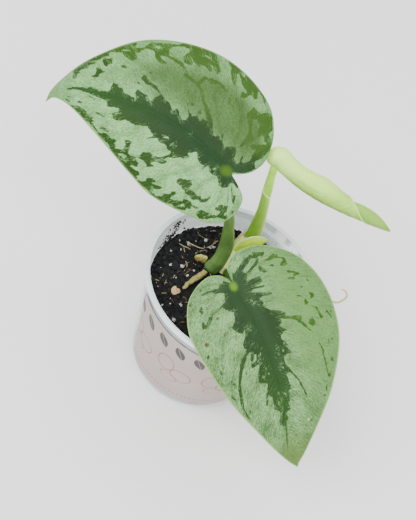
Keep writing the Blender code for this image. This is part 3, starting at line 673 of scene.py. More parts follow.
@dataclass(frozen=True)
class LeafFace(Finish):
    """The satin upper face: silver ground, dark green patches that follow the veins, a paler
    line at the margin and a yellow-green spot where the petiole joins.

    The blade carries, in millimetres: patch, the depth inside a dark patch; flat, the place
    in the flat blade; rib, the distance from the midrib; edge, the distance from the margin;
    vein, the place across and along the veins; groove, 1 on a side vein; crown, 1 midway
    between two; shade, 1 on the side where painted shade turns the silver green and the dark
    patches warmer.
    """

    silver: Tone
    silver_deep: Tone
    # the silver in painted shade
    silver_shaded: Tone
    dark: Tone
    dark_far: Tone
    margin: Tone
    tip: Tone
    joint: Tone
    sheen: Tone
    tip_start: float
    joint_place: tuple[float, float, float, float]
    # how strongly the painted quilting shade follows the crowns between the veins
    quilt_shade: float = 0.15
    fray: float = 0.45
    grainy: float = 0.9
    # how much of the painted shade is taken off near the margin
    shade_off_at_rim: float = 0.35
    spots: tuple = ()

    def paint(self, paint: Paint) -> Material:
        """Fills in the material's nodes."""
        flat, vein = paint.triple("flat"), paint.triple("vein")
        forward, sideways, _ = paint.parts(flat)
        rib, edge, shade, patch = (paint.value(name) for name in ("rib", "edge", "shade", "patch"))
        streak = paint.noise(paint.stretched(vein, 2.4, 0.42), 1.0, 3.0, 0.62)
        thin = paint.noise(paint.stretched(vein, 6.0, 0.8), 1.0, 2.0, 0.6)
        slit = paint.noise(paint.stretched(vein, 3.4, 0.16), 1.0, 3.0, 0.6)
        fine = paint.noise(flat, 1.7, 3.0, 0.65)
        shard = paint.cells(paint.stretched(vein, 0.95, 0.40), 1.0) - 0.45
        grain = paint.cells(flat, 2.3)
        blotch = paint.noise(flat, 0.16, 2.0, 0.5)
        ragged = patch + streak * 0.6 + shard * 0.55 + fine * 0.22 + 0.02
        fleck = (thin + shard * 0.5 + fine * 0.3).step(0.16, 0.24) * patch.step(1.2, 0.3)
        fleck = fleck + (slit + thin * 0.5).step(0.10, 0.17) * patch.step(2.4, 0.6) * self.fray
        speck = (fine - thin * 0.5).step(0.19, 0.25) * patch.step(-1.5, -0.3)
        dark = ragged.step(-0.10, 0.08) * (1.0 - fleck * 0.55).math("MAXIMUM", 0.0)
        dark = dark.math("MAXIMUM", speck * 0.4)
        # painted shade of the quilting: the silver is darker in the vein grooves and lighter on the crowns
        # between them
        pale = (blotch * 0.9 + streak * self.grainy + fine * 1.1 + thin * self.grainy + 0.5
                - paint.value("groove") * 0.16
                + (paint.value("crown") - 0.55) * self.quilt_shade).step(0.0, 1.0)
        silver = paint.mix(pale, self.silver_deep, self.silver)
        # painted shade: on the shaded side the silver turns to its shaded tone, less so near the margin
        silver = paint.mix(shade * (1.0 - edge.step(12.0, 3.0) * self.shade_off_at_rim), silver,
                           paint.mix(pale * 0.42, self.silver_shaded, self.silver_deep))
        silver = paint.brighter(silver, 1.12 - grain * 0.30 + thin * 0.6 + streak * 0.25 + fine * 0.3
                                - slit.step(0.04, 0.16) * self.fray * 0.35)
        outwards = (rib.step(3.0, 11.0) * (shade * 0.6 + 0.4)).math("MAXIMUM", forward.step(14.0, 46.0) * 0.5)
        green = paint.mix(outwards, self.dark, self.dark_far)
        # painted sheen: a bluish band along the midrib
        green = paint.mix(rib.bell(1.2, 2.4) * 0.38, green, self.sheen)
        green = paint.brighter(green, 1.0 + fine * 0.5 + streak * 0.5 + thin * 0.4)
        colour = paint.mix(dark, silver, green)
        colour = paint.mix(forward.step(self.tip_start, self.tip_start + 16.0) * 0.8, colour, self.tip)
        x, y, long, wide = self.joint_place
        spot = (((forward - x) / long) ** 2.0 + ((sideways - y) / wide) ** 2.0) ** 0.5
        spot = spot + streak * 0.9 + fine * 0.5
        colour = paint.mix(spot.step(1.5, 0.3) * 0.9, colour, self.joint)
        from_joint = (forward * forward + sideways * sideways) ** 0.5
        line = (edge + fine * 0.3).step(0.62, 0.15) * from_joint.step(2.5, 7.0)
        colour = paint.mix(line * 0.7, colour, self.margin)
        for x, y, radius, stain in self.spots:
            away = ((forward - x) ** 2.0 + (sideways - y) ** 2.0) ** 0.5 + fine * radius
            colour = paint.mix(away.step(radius * 1.2, radius * 0.4) * 0.85, colour, stain)
        paint.bump(thin * 0.06 + fine * 0.06 - grain * 0.04 + dark * 0.01, 0.8)
        return paint.dress(colour, 0.50 - dark * 0.06 + fine * 0.15, 0.12)


@dataclass(frozen=True)
class LeafBack(Finish):
    """The matt underside, pale green with raised veins."""

    ground: Tone
    deep: Tone

    def paint(self, paint: Paint) -> Material:
        """Fills in the material's nodes."""
        vein, flat = paint.triple("vein"), paint.triple("flat")
        streak = paint.noise(paint.stretched(vein, 2.2, 0.35), 1.0, 3.0, 0.6)
        blotch = paint.noise(flat, 0.25, 3.0, 0.55)
        cell = paint.cells(flat, 3.0)
        colour = paint.mix((streak + blotch + 0.5).step(0.0, 1.0), self.deep, self.ground)
        colour = paint.mix(paint.value("groove") * 0.45, colour, tint(148, 172, 106))
        colour = paint.mix(paint.value("rib").bell(0.0, 0.8) * 0.8, colour, tint(142, 166, 88))
        colour = paint.brighter(colour, 1.05 - cell * 0.18)
        paint.bump(streak * 0.06 - cell * 0.04, 0.8)
        return paint.dress(colour, blotch * 0.15 + 0.6, 0.2)


@dataclass(frozen=True)
class YoungLeaf(Finish):
    """The rolled leaf: waxy lime green with fine slanting veins, painted light along its crest
    and painted shade below it.

    The piece carries roll, the place round and along it in millimetres with the share of its
    length; crest, the painted light, 1 along its upper side; flap, 1 where the outer edge laps
    over; and lip, 1 at that edge.
    """

    def paint(self, paint: Paint) -> Material:
        """Fills in the material's nodes."""
        round_it, along, share = paint.parts(paint.triple("roll"))
        slanted = {0: round_it * 1.3 - along * 0.34, 1: along * 0.07}
        slant = paint.node("ShaderNodeCombineXYZ", {}, slanted)
        lines = paint.noise(slant, 1.3, 3.0, 0.65)
        soft = paint.noise(paint.place, 0.2, 2.0, 0.5)
        fine = paint.noise(paint.place, 2.4, 2.0, 0.6)
        # painted light and shade: pale lime where the crest value is high, shaded green where it is low
        lit = (paint.value("crest") + lines * 0.8 + soft * 0.4).step(0.0, 1.05)
        colour = paint.mix(lit, tint(96, 140, 38), tint(200, 246, 112))
        flap = paint.mix(lines + 0.5, tint(98, 144, 38), tint(128, 172, 60))
        colour = paint.mix(paint.value("flap") * 0.8, colour, flap)
        colour = paint.mix(share.step(0.38, 0.75) * 0.6, colour, tint(138, 188, 66))
        colour = paint.mix(share.step(0.86, 1.0) * 0.7, colour, tint(112, 156, 46))
        colour = paint.mix(share.step(0.42, 0.06) * 0.5, colour, tint(214, 255, 140))
        colour = paint.mix(share.step(0.04, 0.0) * 0.5, colour, tint(150, 196, 84))
        colour = paint.mix(paint.value("lip") * 0.8, colour, tint(214, 240, 160))
        colour = paint.brighter(colour, 1.0 + fine * 0.12)
        paint.bump(lines * 0.14 + fine * 0.03, 0.8)
        return paint.dress(colour, fine * 0.1 + 0.44, 0.3)


@dataclass(frozen=True)
class StalkSkin(Finish):
    """Waxy green skin of a stem or petiole with long faint lines, and a second colour that
    comes in where the piece's band value is high. Below sheath_share of the length, where a
    pale edge slants down from the side that is sheath_high millimetres round, the skin is a
    sheath: deeper green, and paler on the band's side.

    The piece carries run, the place round and along it in millimetres with the share of its
    length, and band.
    """

    ground: Tone
    deep: Tone
    second: Tone
    foot: Tone
    foot_share: float = 0.12
    roughness: float = 0.4
    foot_blend: float = 0.5
    head_lift: float = 0.0
    sheath_share: float = 0.0
    sheath_high: float = 7.4

    def paint(self, paint: Paint) -> Material:
        """Fills in the material's nodes."""
        run = paint.triple("run")
        round_it, _, share = paint.parts(run)
        lines = paint.noise(paint.stretched(run, 2.2, 0.16, 0.0), 1.0, 3.0, 0.6)
        fine = paint.noise(paint.place, 2.2, 3.0, 0.6)
        soft = paint.noise(paint.place, 0.3, 2.0, 0.5)
        colour = paint.mix((lines * 1.4 + soft + 0.5).step(0.0, 1.0), self.deep, self.ground)
        colour = paint.mix((paint.value("band") + lines * 0.7).step(0.25, 0.85) * 0.85, colour, self.second)
        if self.sheath_share:
            edge = share + abs(round_it - self.sheath_high) * 0.012 + lines * 0.012 - self.sheath_share
            sheath = paint.mix(paint.value("band") ** 0.4, self.deep, self.second)
            colour = paint.mix(edge.step(0.008, -0.004) * 0.55, colour, sheath)
            colour = paint.mix(edge.bell(0.0, 0.009) * 0.5, colour, tint(226, 240, 190))
        foot = (share + soft * self.foot_share * 0.5).step(self.foot_share, self.foot_share * self.foot_blend)
        colour = paint.mix(foot * 0.85, colour, self.foot)
        colour = paint.brighter(colour, 1.0 + fine * 0.22 + share.step(0.4, 1.0) * self.head_lift)
        paint.bump(lines * 0.12 + fine * 0.04, 0.8)
        return paint.dress(colour, fine * 0.12 + self.roughness, 0.3)


@dataclass(frozen=True)
class RootSkin(Finish):
    """Dull root: pale on one side, brown and cracked on the band's side, with soil on it."""

    pale: Tone
    brown: Tone
    dirt: float = 0.35

    def paint(self, paint: Paint) -> Material:
        """Fills in the material's nodes."""
        run = paint.triple("run")
        rings = paint.noise(paint.stretched(run, 0.4, 1.6, 0.0), 1.0, 3.0, 0.6)
        fine = paint.noise(paint.place, 1.6, 3.0, 0.65)
        below = (paint.value("band") + fine * 0.9 + rings * 0.4).step(0.1, 0.8)
        soiled = (fine + rings * 0.4 + self.dirt - 0.5).step(0.05, 0.22)
        colour = paint.mix(soiled * 0.85, paint.mix(below, self.pale, self.brown), tint(40, 32, 26))
        paint.bump(rings * 0.16 + fine * 0.14, 0.9)
        return paint.dress(colour, fine * 0.2 + 0.8, 0.2)


@dataclass(frozen=True)
class Peat(Finish):
    """Moist dark peat: near black with brown and grey crumbs and wet glints."""

    lift: float = 1.0

    def paint(self, paint: Paint) -> Material:
        """Fills in the material's nodes."""
        coarse = paint.noise(paint.place, 0.7, 3.0, 0.6)
        fine = paint.noise(paint.place, 3.0, 3.0, 0.7)
        cell = paint.cells(paint.place, 1.5)
        colour = paint.mix((coarse * 1.4 + fine + 0.42).step(0.0, 1.0), tint(5, 6, 8), tint(34, 34, 37))
        colour = paint.mix((fine - coarse * 0.5).step(0.27, 0.38) * 0.6, colour, tint(66, 52, 42))
        colour = paint.mix((fine + cell * 0.25 - 0.1).step(0.31, 0.42) * 0.6, colour, tint(122, 118, 112))
        colour = paint.brighter(colour, self.lift)
        paint.bump(fine * 0.35 + coarse * 0.5 - cell * 0.3, 1.0)
        return paint.dress(colour, 0.80 - coarse.step(0.0, 0.25) * 0.35 + fine * 0.2, 0.35)


@dataclass(frozen=True)
class Grain(Finish):
    """Perlite, bark or fibre: one colour towards another in blotches, dusted with peat."""

    light: Tone
    deep: Tone
    dust: float = 0.3

    def paint(self, paint: Paint) -> Material:
        """Fills in the material's nodes."""
        blotch = paint.noise(paint.place, 0.9, 3.0, 0.6)
        fine = paint.noise(paint.place, 3.4, 3.0, 0.65)
        cell = paint.cells(paint.place, 2.6)
        colour = paint.mix((blotch * 1.4 + fine + 0.5).step(0.0, 1.0), self.deep, self.light)
        colour = paint.mix((fine + blotch + self.dust - 0.5).step(0.0, 0.25) * 0.75, colour, tint(48, 42, 38))
        paint.bump(fine * 0.22 - cell * 0.20, 0.9)
        return paint.dress(colour, fine * 0.2 + 0.85, 0.25)


@dataclass(frozen=True)
class FrostedPlastic(Finish):
    """Thin clear plastic, slightly milky: whiter where it is thick, scuffed, with dirt inside,
    and with a painted glow (emission) on the bare inner wall on the side away from the lamp,
    standing in for light coming through the wall from outside."""

    def paint(self, paint: Paint) -> Material:
        """Fills in the material's nodes."""
        across, _, height = paint.parts(paint.place)
        haze = paint.noise(paint.place, 0.12, 3.0, 0.6)
        drawn = paint.noise(paint.stretched(paint.place, 1.0, 1.0, 0.06), 1.1, 2.0, 0.6)
        fine = paint.noise(paint.place, 2.4, 3.0, 0.7)
        rim = height.step(50.4, 51.4)
        dirt = (fine + haze * 0.5).step(0.27, 0.34) * paint.value("inner") * height.step(51.0, 46.0)
        colour = paint.mix(haze + 0.5, tint(214, 226, 230), tint(240, 247, 250))
        colour = paint.mix(dirt * 0.85, colour, tint(52, 46, 42))
        clear = height.step(44.6, 46.0)
        alpha = (haze * 0.16 + drawn * 0.08 + 0.30 + clear * 0.30 + rim * 0.32 + dirt * 0.4)
        # painted light: an emission glow on the bare inner wall away from the lamp, for light coming through
        # the plastic
        through = paint.value("inner") * across.step(-6.0, 16.0) * clear * (1.0 - dirt) * (haze * 0.4 + 0.95)
        painted_glow = paint.mix(through, tint(0, 0, 0), tint(226, 238, 242))
        paint.bump(drawn * 0.05 + haze * 0.05, 0.6)
        return paint.dress(colour, fine * 0.1 + 0.26, 0.5, Alpha=alpha, IOR=1.46, Emission_Color=painted_glow,
                           Emission_Strength=1.0)


@dataclass(frozen=True)
class LabelPaper(Finish):
    """Satin pinkish-white label paper with a plain print: a row of dark leaf shapes, pale pink
    ovals under it and a dotted line near the foot.

    The label carries sheet: the place along and up it in millimetres, and 1 on its face.
    """

    leaf_step: float = 6.6
    leaf_height: float = 41.8
    oval_step: float = 17.0
    oval_height: float = 26.5
    dot_step: float = 1.7
    dot_height: float = 9.0

    def paint(self, paint: Paint) -> Material:
        """Fills in the material's nodes. A leaf is a slanting lens whose half width is a
        parabola of the place along it, with a pale rib; an oval is a thin ring."""
        along, up, face = paint.parts(paint.triple("sheet"))
        fibre = paint.noise(paint.place, 1.4, 3.0, 0.6)
        soft = paint.noise(paint.place, 0.07, 2.0, 0.5)
        x = ((along / self.leaf_step).math("FRACT") - 0.5) * self.leaf_step
        y = up - self.leaf_height
        down, over = y * 0.93 - x * 0.37, x * 0.93 + y * 0.37
        half = (1.0 - (down / 3.9) ** 2.0) * 1.75
        leaf = (half - abs(over)).step(-0.04, 0.10) * (1.0 - abs(over).step(0.16, 0.06) * 0.6)
        x = ((along / self.oval_step).math("FRACT") - 0.5) * self.oval_step
        y = up - self.oval_height
        ovals = 0.0
        for shift, rise, wide, tall in ((-3.4, 2.6, 3.2, 5.2), (3.2, -1.4, 3.8, 4.2), (-0.6, -6.0, 3.4, 2.6)):
            ring = (((x - shift) / wide) ** 2.0 + ((y - rise) / tall) ** 2.0) ** 0.5 - 1.0
            ovals = abs(ring).step(0.09, 0.035) + ovals
        dots = abs((along / self.dot_step).math("FRACT") - 0.5).step(0.30, 0.22)
        dots = dots * abs(up - self.dot_height).step(0.42, 0.28)
        colour = paint.mix(soft + 0.5, tint(164, 148, 143), tint(182, 167, 161))
        colour = paint.mix(ovals.math("MINIMUM", 1.0) * face * 0.8, colour, tint(138, 92, 80))
        colour = paint.mix((leaf.math("MAXIMUM", dots * 0.6)) * face * 0.92, colour, tint(20, 28, 20))
        colour = paint.brighter(colour, 1.0 + fibre * 0.06)
        paint.bump(fibre * 0.03, 0.6)
        return paint.dress(colour, fibre * 0.12 + 0.46, 0.3)


@dataclass(frozen=True)
class Floor(Finish):
    """The pale studio floor."""

    def paint(self, paint: Paint) -> Material:
        """Fills in the material's nodes."""
        cloud = paint.noise(paint.place, 0.004, 2.0, 0.5)
        colour = paint.mix(cloud + 0.5, (0.90, 0.90, 0.90, 1.0), (0.94, 0.94, 0.94, 1.0))
        return paint.dress(colour, 0.9, 0.1)


# Leaf blades


@dataclass
class Blade:
    """An open leaf. Outlines and the midrib are in the flat blade: forward from the petiole's
    junction, then sideways, left positive.

    The flat blade is bent along an arc of arch degrees to a millimetre, droops past tip_start
    as a square, falls away from the midrib as half the camber times the square of the distance,
    rises fold out of the midrib's valley, and turns down at the margin.
    """

    name: str
    junction: Place
    heading: float
    pitch: float
    roll: float
    camber: float
    tip_drop: float
    midrib: Path
    right: Path
    left: Path
    dark: Outlines
    light: Outlines
    face: LeafFace
    shade_side: tuple[float, float, float, float]
    arch: float = 0.484
    fold: float = 0.8
    fold_width: float = 2.5
    tip_start: float = 50.0
    rim_turn: float = 0.8
    fan_share: float = 0.27
    vein_bow: float = 0.20
    sweep: float = 2.0
    side_veins: int = 9
    quilt: float = 0.09
    rows: int = 220
    steps: int = 86
    back: LeafBack = LeafBack("leaf_underside", tint(158, 180, 132), tint(132, 158, 104))

    def in_room(self, flat: Array, lift: Array) -> Array:
        """Turns places of the flat blade into room places: forward becomes the sine of the arc
        over its rate, sideways stays, and the lift stands square to the arc.

        Args:
            flat: places forward and sideways.
            lift: their height off the flat blade.

        Returns:
            The places in the room.
        """
        rate = math.radians(self.arch)
        forward, sideways = flat[..., 0], flat[..., 1]
        bent = np.stack([np.sin(rate * forward) / rate + lift * np.sin(rate * forward), sideways,
                         -(1.0 - np.cos(rate * forward)) / rate + lift * np.cos(rate * forward)], axis=-1)
        turns = [Matrix.Rotation(math.radians(degrees), 3, axis)
                 for degrees, axis in ((self.heading, "Z"), (-self.pitch, "Y"), (self.roll, "X"))]
        return np.asarray(self.junction) + bent @ np.array(turns[0] @ turns[1] @ turns[2]).T

    def half(self, outline: Path, side: float) -> Surface:
        """The upper face from the midrib to one margin, on a grid of veins.

        Each vein starts on the midrib, or at the junction for the first fan_share of them, and
        bows backwards to its even place on the margin as a curve of three control points. The
        sweep is the power that keeps its start behind its end, so that it runs tipwards.

        Args:
            outline: the margin from the notch to the tip.
            side: 1 for left and -1 for right.

        Returns:
            The half's surface, with the values that the finish reads.
        """
        margin = smooth_through(outline, self.rows + 1)
        line = smooth_through(self.midrib, 120)
        row = np.linspace(0.0, 1.0, self.rows + 1)
        start_share = np.clip((row - self.fan_share) / (1.0 - self.fan_share), 0.0, 1.0) ** self.sweep
        marks = np.linspace(0.0, 1.0, len(line))
        starts = together(*(np.interp(start_share, marks, part) for part in line.T))
        share = np.linspace(0.0, 1.0, self.steps + 1)[None, :]
        run = margin - starts
        length = np.linalg.norm(run, axis=1)
        bow = self.vein_bow * length * soft_step(length, 6.0, 18.0)
        middle = starts + 0.5 * run - bow[:, None] * np.array([1.0, 0.0])
        t = share[..., None]
        flat = (1 - t) ** 2 * starts[:, None] + 2 * t * (1 - t) * middle[:, None] + t ** 2 * margin[:, None]
        offset = flat[..., 1] - np.interp(flat[..., 0], line[:, 0], line[:, 1])
        phase = np.repeat((row ** 1.15 * self.side_veins)[:, None], self.steps + 1, axis=1)
        phase = phase + 0.10 * lumps(flat, 9.0, 5)
        off_vein = np.abs(phase - np.round(phase))
        spread_out = np.sin(math.pi * np.clip(share, 0, 1)) ** 0.6 * soft_step(length, 2.0, 14.0)[:, None]
        crown = np.sin(math.pi * np.clip(off_vein, 0.0, 0.5)) ** 0.8 * spread_out
        beyond = np.clip(flat[..., 0] - self.tip_start, 0.0, None)
        valley = self.fold * (1.0 - np.exp(-(np.sqrt(offset ** 2 + 0.04) - 0.2) / self.fold_width))
        lift = (-0.5 * self.camber * offset ** 2 + valley - self.tip_drop * beyond ** 2
                - self.rim_turn * share ** 6 * soft_step(length, 3.0, 12.0)[:, None]
                + self.quilt * (crown - 0.5) + 0.10 * lumps(flat, 7.0, 3) * spread_out)
        points = self.in_room(flat, lift).reshape(-1, 3)
        places = flat.reshape(-1, 2)
        upwards = self.in_room(flat, lift + 1.0).reshape(-1, 3) - points
        across = way_along(margin)
        values = {
            "upwards": upwards,
            "flat": np.column_stack([places, np.zeros(len(places))]),
            "rib": np.abs(offset).ravel(),
            "edge": (length[:, None] * (1.0 - share)).ravel(),
            "vein": np.column_stack([np.repeat(across * side, self.steps + 1),
                                     (length[:, None] * share).ravel(), np.full(len(places), 3.0 * side)]),
            "groove": (np.exp(-(off_vein / 0.09) ** 2) * spread_out).ravel(),
            "crown": crown.ravel(),
            "patch": self.patches(places),
            "shade": self.shading(places),
        }
        faces = grid_triangles(self.rows + 1, self.steps + 1)
        return Surface(points, faces if side > 0 else faces[:, ::-1], values)

    def patches(self, places: Array) -> Array:
        """How deep each place lies in a dark patch, less where a light one lies in it: the
        deepest of the dark outlines, cut by minus the deepest of the light ones."""
        dark = np.max([depth_inside(places, outline) for outline in self.dark], axis=0)
        light = np.max([depth_inside(places, outline) for outline in self.light], axis=0)
        return np.minimum(dark, -light)

    def shading(self, places: Array) -> Array:
        """Where painted shade turns the silver green: a soft step across the line given by
        shade_side, two numbers for its direction, then where it starts and ends."""
        x, y, low, high = self.shade_side
        return soft_step(places[:, 0] * x + places[:, 1] * y, low, high)

    def build(self) -> Piece:
        """Both halves with their underside and rim, as one piece."""
        top = (self.half(self.left, 1.0) + self.half(self.right, -1.0)).welded()
        upwards = top.values.pop("upwards")
        size = top.values["edge"]
        wall = 0.18 + 0.30 * soft_step(size, 0.0, 4.0)
        forward = top.values["flat"][:, 0]
        keel = (0.75 * np.exp(-(top.values["rib"] / 0.75) ** 2) * soft_step(size, 0.2, 3.0)
                * (1 - 0.6 * soft_step(forward, 0, 60)))
        veins = 0.10 * top.values["groove"]
        below = Surface(top.points - upwards * (wall + keel + veins)[:, None], top.faces[:, ::-1], top.values,
                        np.ones(len(top.faces), int))
        edges = np.sort(np.vstack([top.faces[:, pair] for pair in ([0, 1], [1, 2], [2, 0])]), axis=1)
        ends, count = np.unique(edges, axis=0, return_counts=True)
        rim = ends[count == 1]
        n = len(top.points)
        band = np.concatenate([np.stack([rim[:, 0], rim[:, 1], rim[:, 1] + n], -1),
                               np.stack([rim[:, 0], rim[:, 1] + n, rim[:, 0] + n], -1)])
        whole = top + below
        whole = Surface(whole.points, np.vstack([whole.faces, band]), whole.values,
                        np.concatenate([whole.finish_index, np.zeros(len(band), int)]))
        return whole.piece(self.name, [self.face, self.back], "leaf", [self.name.replace("blade", "leaf")])


# Rolled leaf


@dataclass
class RolledLeaf:
    """The new leaf: a spindle whose section is a spiral. Its outer edge lies behind for most of
    the length, then crosses the front and leaves the leaf open towards the tip."""

    axis: tuple[Place, ...] = (
        (-10.7, 14.7, 96), (-7.6, 17.2, 95.8), (-3.6, 17.4, 95), (4.7, 17.2, 93.8), (12.5, 18.4, 92.6),
        (24.6, 21, 90.4), (34.3, 22.7, 88))
    upper: tuple[float, ...] = (1.75, 3.75, 3.25, 3, 3.5, 4.05, 3.6, 2.75, 2.4, 2.75, 2.6, 1.7, 0.25)
    lower: tuple[float, ...] = (1.9, 3.2, 3.6, 3.85, 3.85, 3.85, 3.85, 3.6, 3.25, 2.7, 2.1, 1.3, 0.3)
    crest_at: float = 43.0
    overlap: float = 0.15
    seam: tuple[tuple[float, float], ...] = (
        (0, -20), (0.56, -20), (0.62, 44), (0.66, 100), (0.83, 218), (0.92, 246), (1, 250))
    rings: int = 230
    sides: int = 128

    def build(self) -> Piece:
        """The roll. Round the crest the reach is the upper size and below it the lower one; it
        grows by the overlap over one turn, so that its last place stands proud of its first; a
        short inward lip closes the step. Both ends are domed by the root of the way to the
        end."""
        centre = smooth_through(self.axis, self.rings)
        share = np.linspace(0.0, 1.0, self.rings)
        dome = domed(share / 0.03) * domed((1 - share) / 0.02)
        _, sideways, upward = path_frames(centre, np.array([0.0, 1.0, 0.0]))
        turn = np.linspace(0.0, 1.0, self.sides)[None, :]
        angle = np.radians(np.interp(share, *np.array(self.seam).T))[:, None] - math.tau * turn * 0.992
        crest = 0.5 + 0.5 * np.cos(angle - math.radians(self.crest_at))
        upper, lower = spread(self.upper, self.rings) * dome, spread(self.lower, self.rings) * dome
        radii = lower[:, None] + (upper - lower)[:, None] * crest
        open_up = 1.0 + 0.9 * soft_step(share, 0.60, 0.68)[:, None]
        swell = (1.0 - self.overlap * open_up * (1.0 - turn ** 0.8)
                 + 0.05 * np.exp(-((1.0 - turn) / 0.05) ** 2) * open_up)
        reach = radii * swell
        around = -angle * radii
        along = share[:, None] * way_along(centre)[-1]
        reach = reach + 0.05 * lumps(together(around + along * 0.7, 0.1 * along), 1.6, 21) * dome[:, None]
        points = swept(centre, sideways, upward, np.cos(angle) * reach, np.sin(angle) * reach)
        points[0], points[-1] = centre[0], centre[-1]
        lip = np.exp(-((1.0 - turn) / 0.016) ** 2) * soft_step(share, 0.3, 0.6)[:, None]
        band = np.exp(-((np.degrees(angle) % 360 - 46) / 15) ** 2) * soft_step(share, 0.60, 0.66)[:, None]
        flap = soft_step(1.0 - turn, 0.42, 0.62) * soft_step(share, 0.61, 0.66)[:, None] * (1.0 - band)
        # painted light: 1 on the upper side, a little past the crest, where most light falls
        lit = 0.5 + 0.5 * np.cos(angle - math.radians(self.crest_at + 32.0))
        surface = Surface.wrapped(points, roll=together(around, along, share[:, None]), crest=lit,
                                  lip=np.maximum(lip, band * 0.7), flap=flap)
        return surface.piece("new_leaf", [YoungLeaf("new_leaf_wax")], "leaf_new", ["leaf_new"])


# Stems, sheaths and roots


@dataclass
class Stalk:
    """A stem, petiole or root carried along a smooth path, with domed ends.

    groove sinks a channel into the side at groove_at degrees; wobble roughens it; band_at is
    the middle, in degrees, of the side that takes the second colour.
    """

    name: str
    path: Path | Array
    widths: list[float]
    depths: list[float]
    side: Place
    finish: Finish
    slot: str
    nodes: list[str]
    rings: int = 90
    sides: int = 36
    groove: float = 0.0
    groove_at: float = 90.0
    wobble: float = 0.0
    wobble_size: float = 1.4
    band_at: float = 0.0
    band_width: float = 45.0
    dome: float = 0.03

    def surface(self) -> Surface:
        """The skin: each ring is an ellipse, less a bell-shaped channel, plus lumps that grow
        with wobble; its size follows the root of the way to the end at both domes."""
        centre = smooth_through(self.path, self.rings)
        share = np.linspace(0.0, 1.0, self.rings)
        dome = domed(np.minimum(share, 1.0 - share) / self.dome)
        wide, deep = spread(self.widths, self.rings) * dome, spread(self.depths, self.rings) * dome
        _, sideways, upward = path_frames(centre, np.array(self.side))
        angle = np.linspace(0.0, math.tau, self.sides, endpoint=False)
        off = np.abs((np.degrees(angle) - self.groove_at + 180) % 360 - 180)
        ring = 1.0 - self.groove * np.exp(-(off / 32.0) ** 2)
        base = swept(centre, sideways, upward, np.cos(angle) * ring * wide[:, None],
                     np.sin(angle) * ring * deep[:, None])
        out = base - centre[:, None]
        size = np.linalg.norm(out, axis=-1, keepdims=True)
        rough = lumps(base, self.wobble_size, 41) + 0.5 * lumps(base, self.wobble_size * 0.45, 42)
        base = base + out / np.maximum(size, 1e-6) * (self.wobble * rough)[..., None] * dome[:, None, None]
        base[0], base[-1] = centre[0], centre[-1]
        away = np.abs((np.degrees(angle) - self.band_at + 180) % 360 - 180)
        share = share[:, None]
        run = together(angle * max(wide.max(), 0.3), share * way_along(centre)[-1], share)
        band = np.exp(-(away / self.band_width) ** 2)
        return Surface.wrapped(base, run=run, band=np.tile(band, self.rings))

    def build(self) -> Piece:
        """The stalk as a piece."""
        return self.surface().piece(self.name, [self.finish], self.slot, self.nodes)


@dataclass
class Sheath:
    """A thin trough bent round its path and drawn to a point, with thin edges."""

    name: str
    path: Path
    widths: list[float]
    sides_from: Place
    sides_to: Place
    finish: Finish
    slot: str
    nodes: list[str]
    curl: float = 0.42
    thickness: float = 0.32
    rings: int = 80
    across: int = 33

    def build(self) -> Piece:
        """The sheath. Its section is a parabola, curl deep, whose two skins close towards the
        edges by the root of what is left; the sideways direction turns evenly along it."""
        centre = smooth_through(self.path, self.rings)
        share = np.linspace(0.0, 1.0, self.rings)[:, None]
        wide = spread(self.widths, self.rings)[:, None]
        hint = np.array(self.sides_from) * (1 - share) + np.array(self.sides_to) * share
        _, sideways, upward = path_frames(centre, hint)
        x = np.linspace(-1.0, 1.0, self.across)
        side = np.concatenate([x, x[::-1][1:-1]])
        skin = np.concatenate([np.ones(self.across), -np.ones(self.across - 2)])
        edge = np.sqrt(np.clip(1 - np.abs(side) ** 4, 0.0, 1.0))
        ribs = 0.03 * np.cos(side * 22.0) * edge
        bend = self.curl * (side ** 2 - 1.0)
        end = np.clip((1 - share) / 0.08, 0.0, 1.0) ** 0.5 * np.clip(share / 0.04, 0.0, 1.0) ** 0.5
        flutter = 0.10 * np.sin(share * 17.0) * side ** 4
        height = bend * wide + skin * edge * self.thickness * end + ribs + flutter
        points = swept(centre, sideways, upward, side * wide * end, height * end)
        points[0], points[-1] = points[0].mean(axis=0), points[-1].mean(axis=0)
        run = together(side * 2.0, share * way_along(centre)[-1], share)
        surface = Surface.wrapped(points, run=run, band=np.tile(np.abs(side) ** 5, self.rings))
        return surface.piece(self.name, [self.finish], self.slot, self.nodes)


# Pot, label and soil


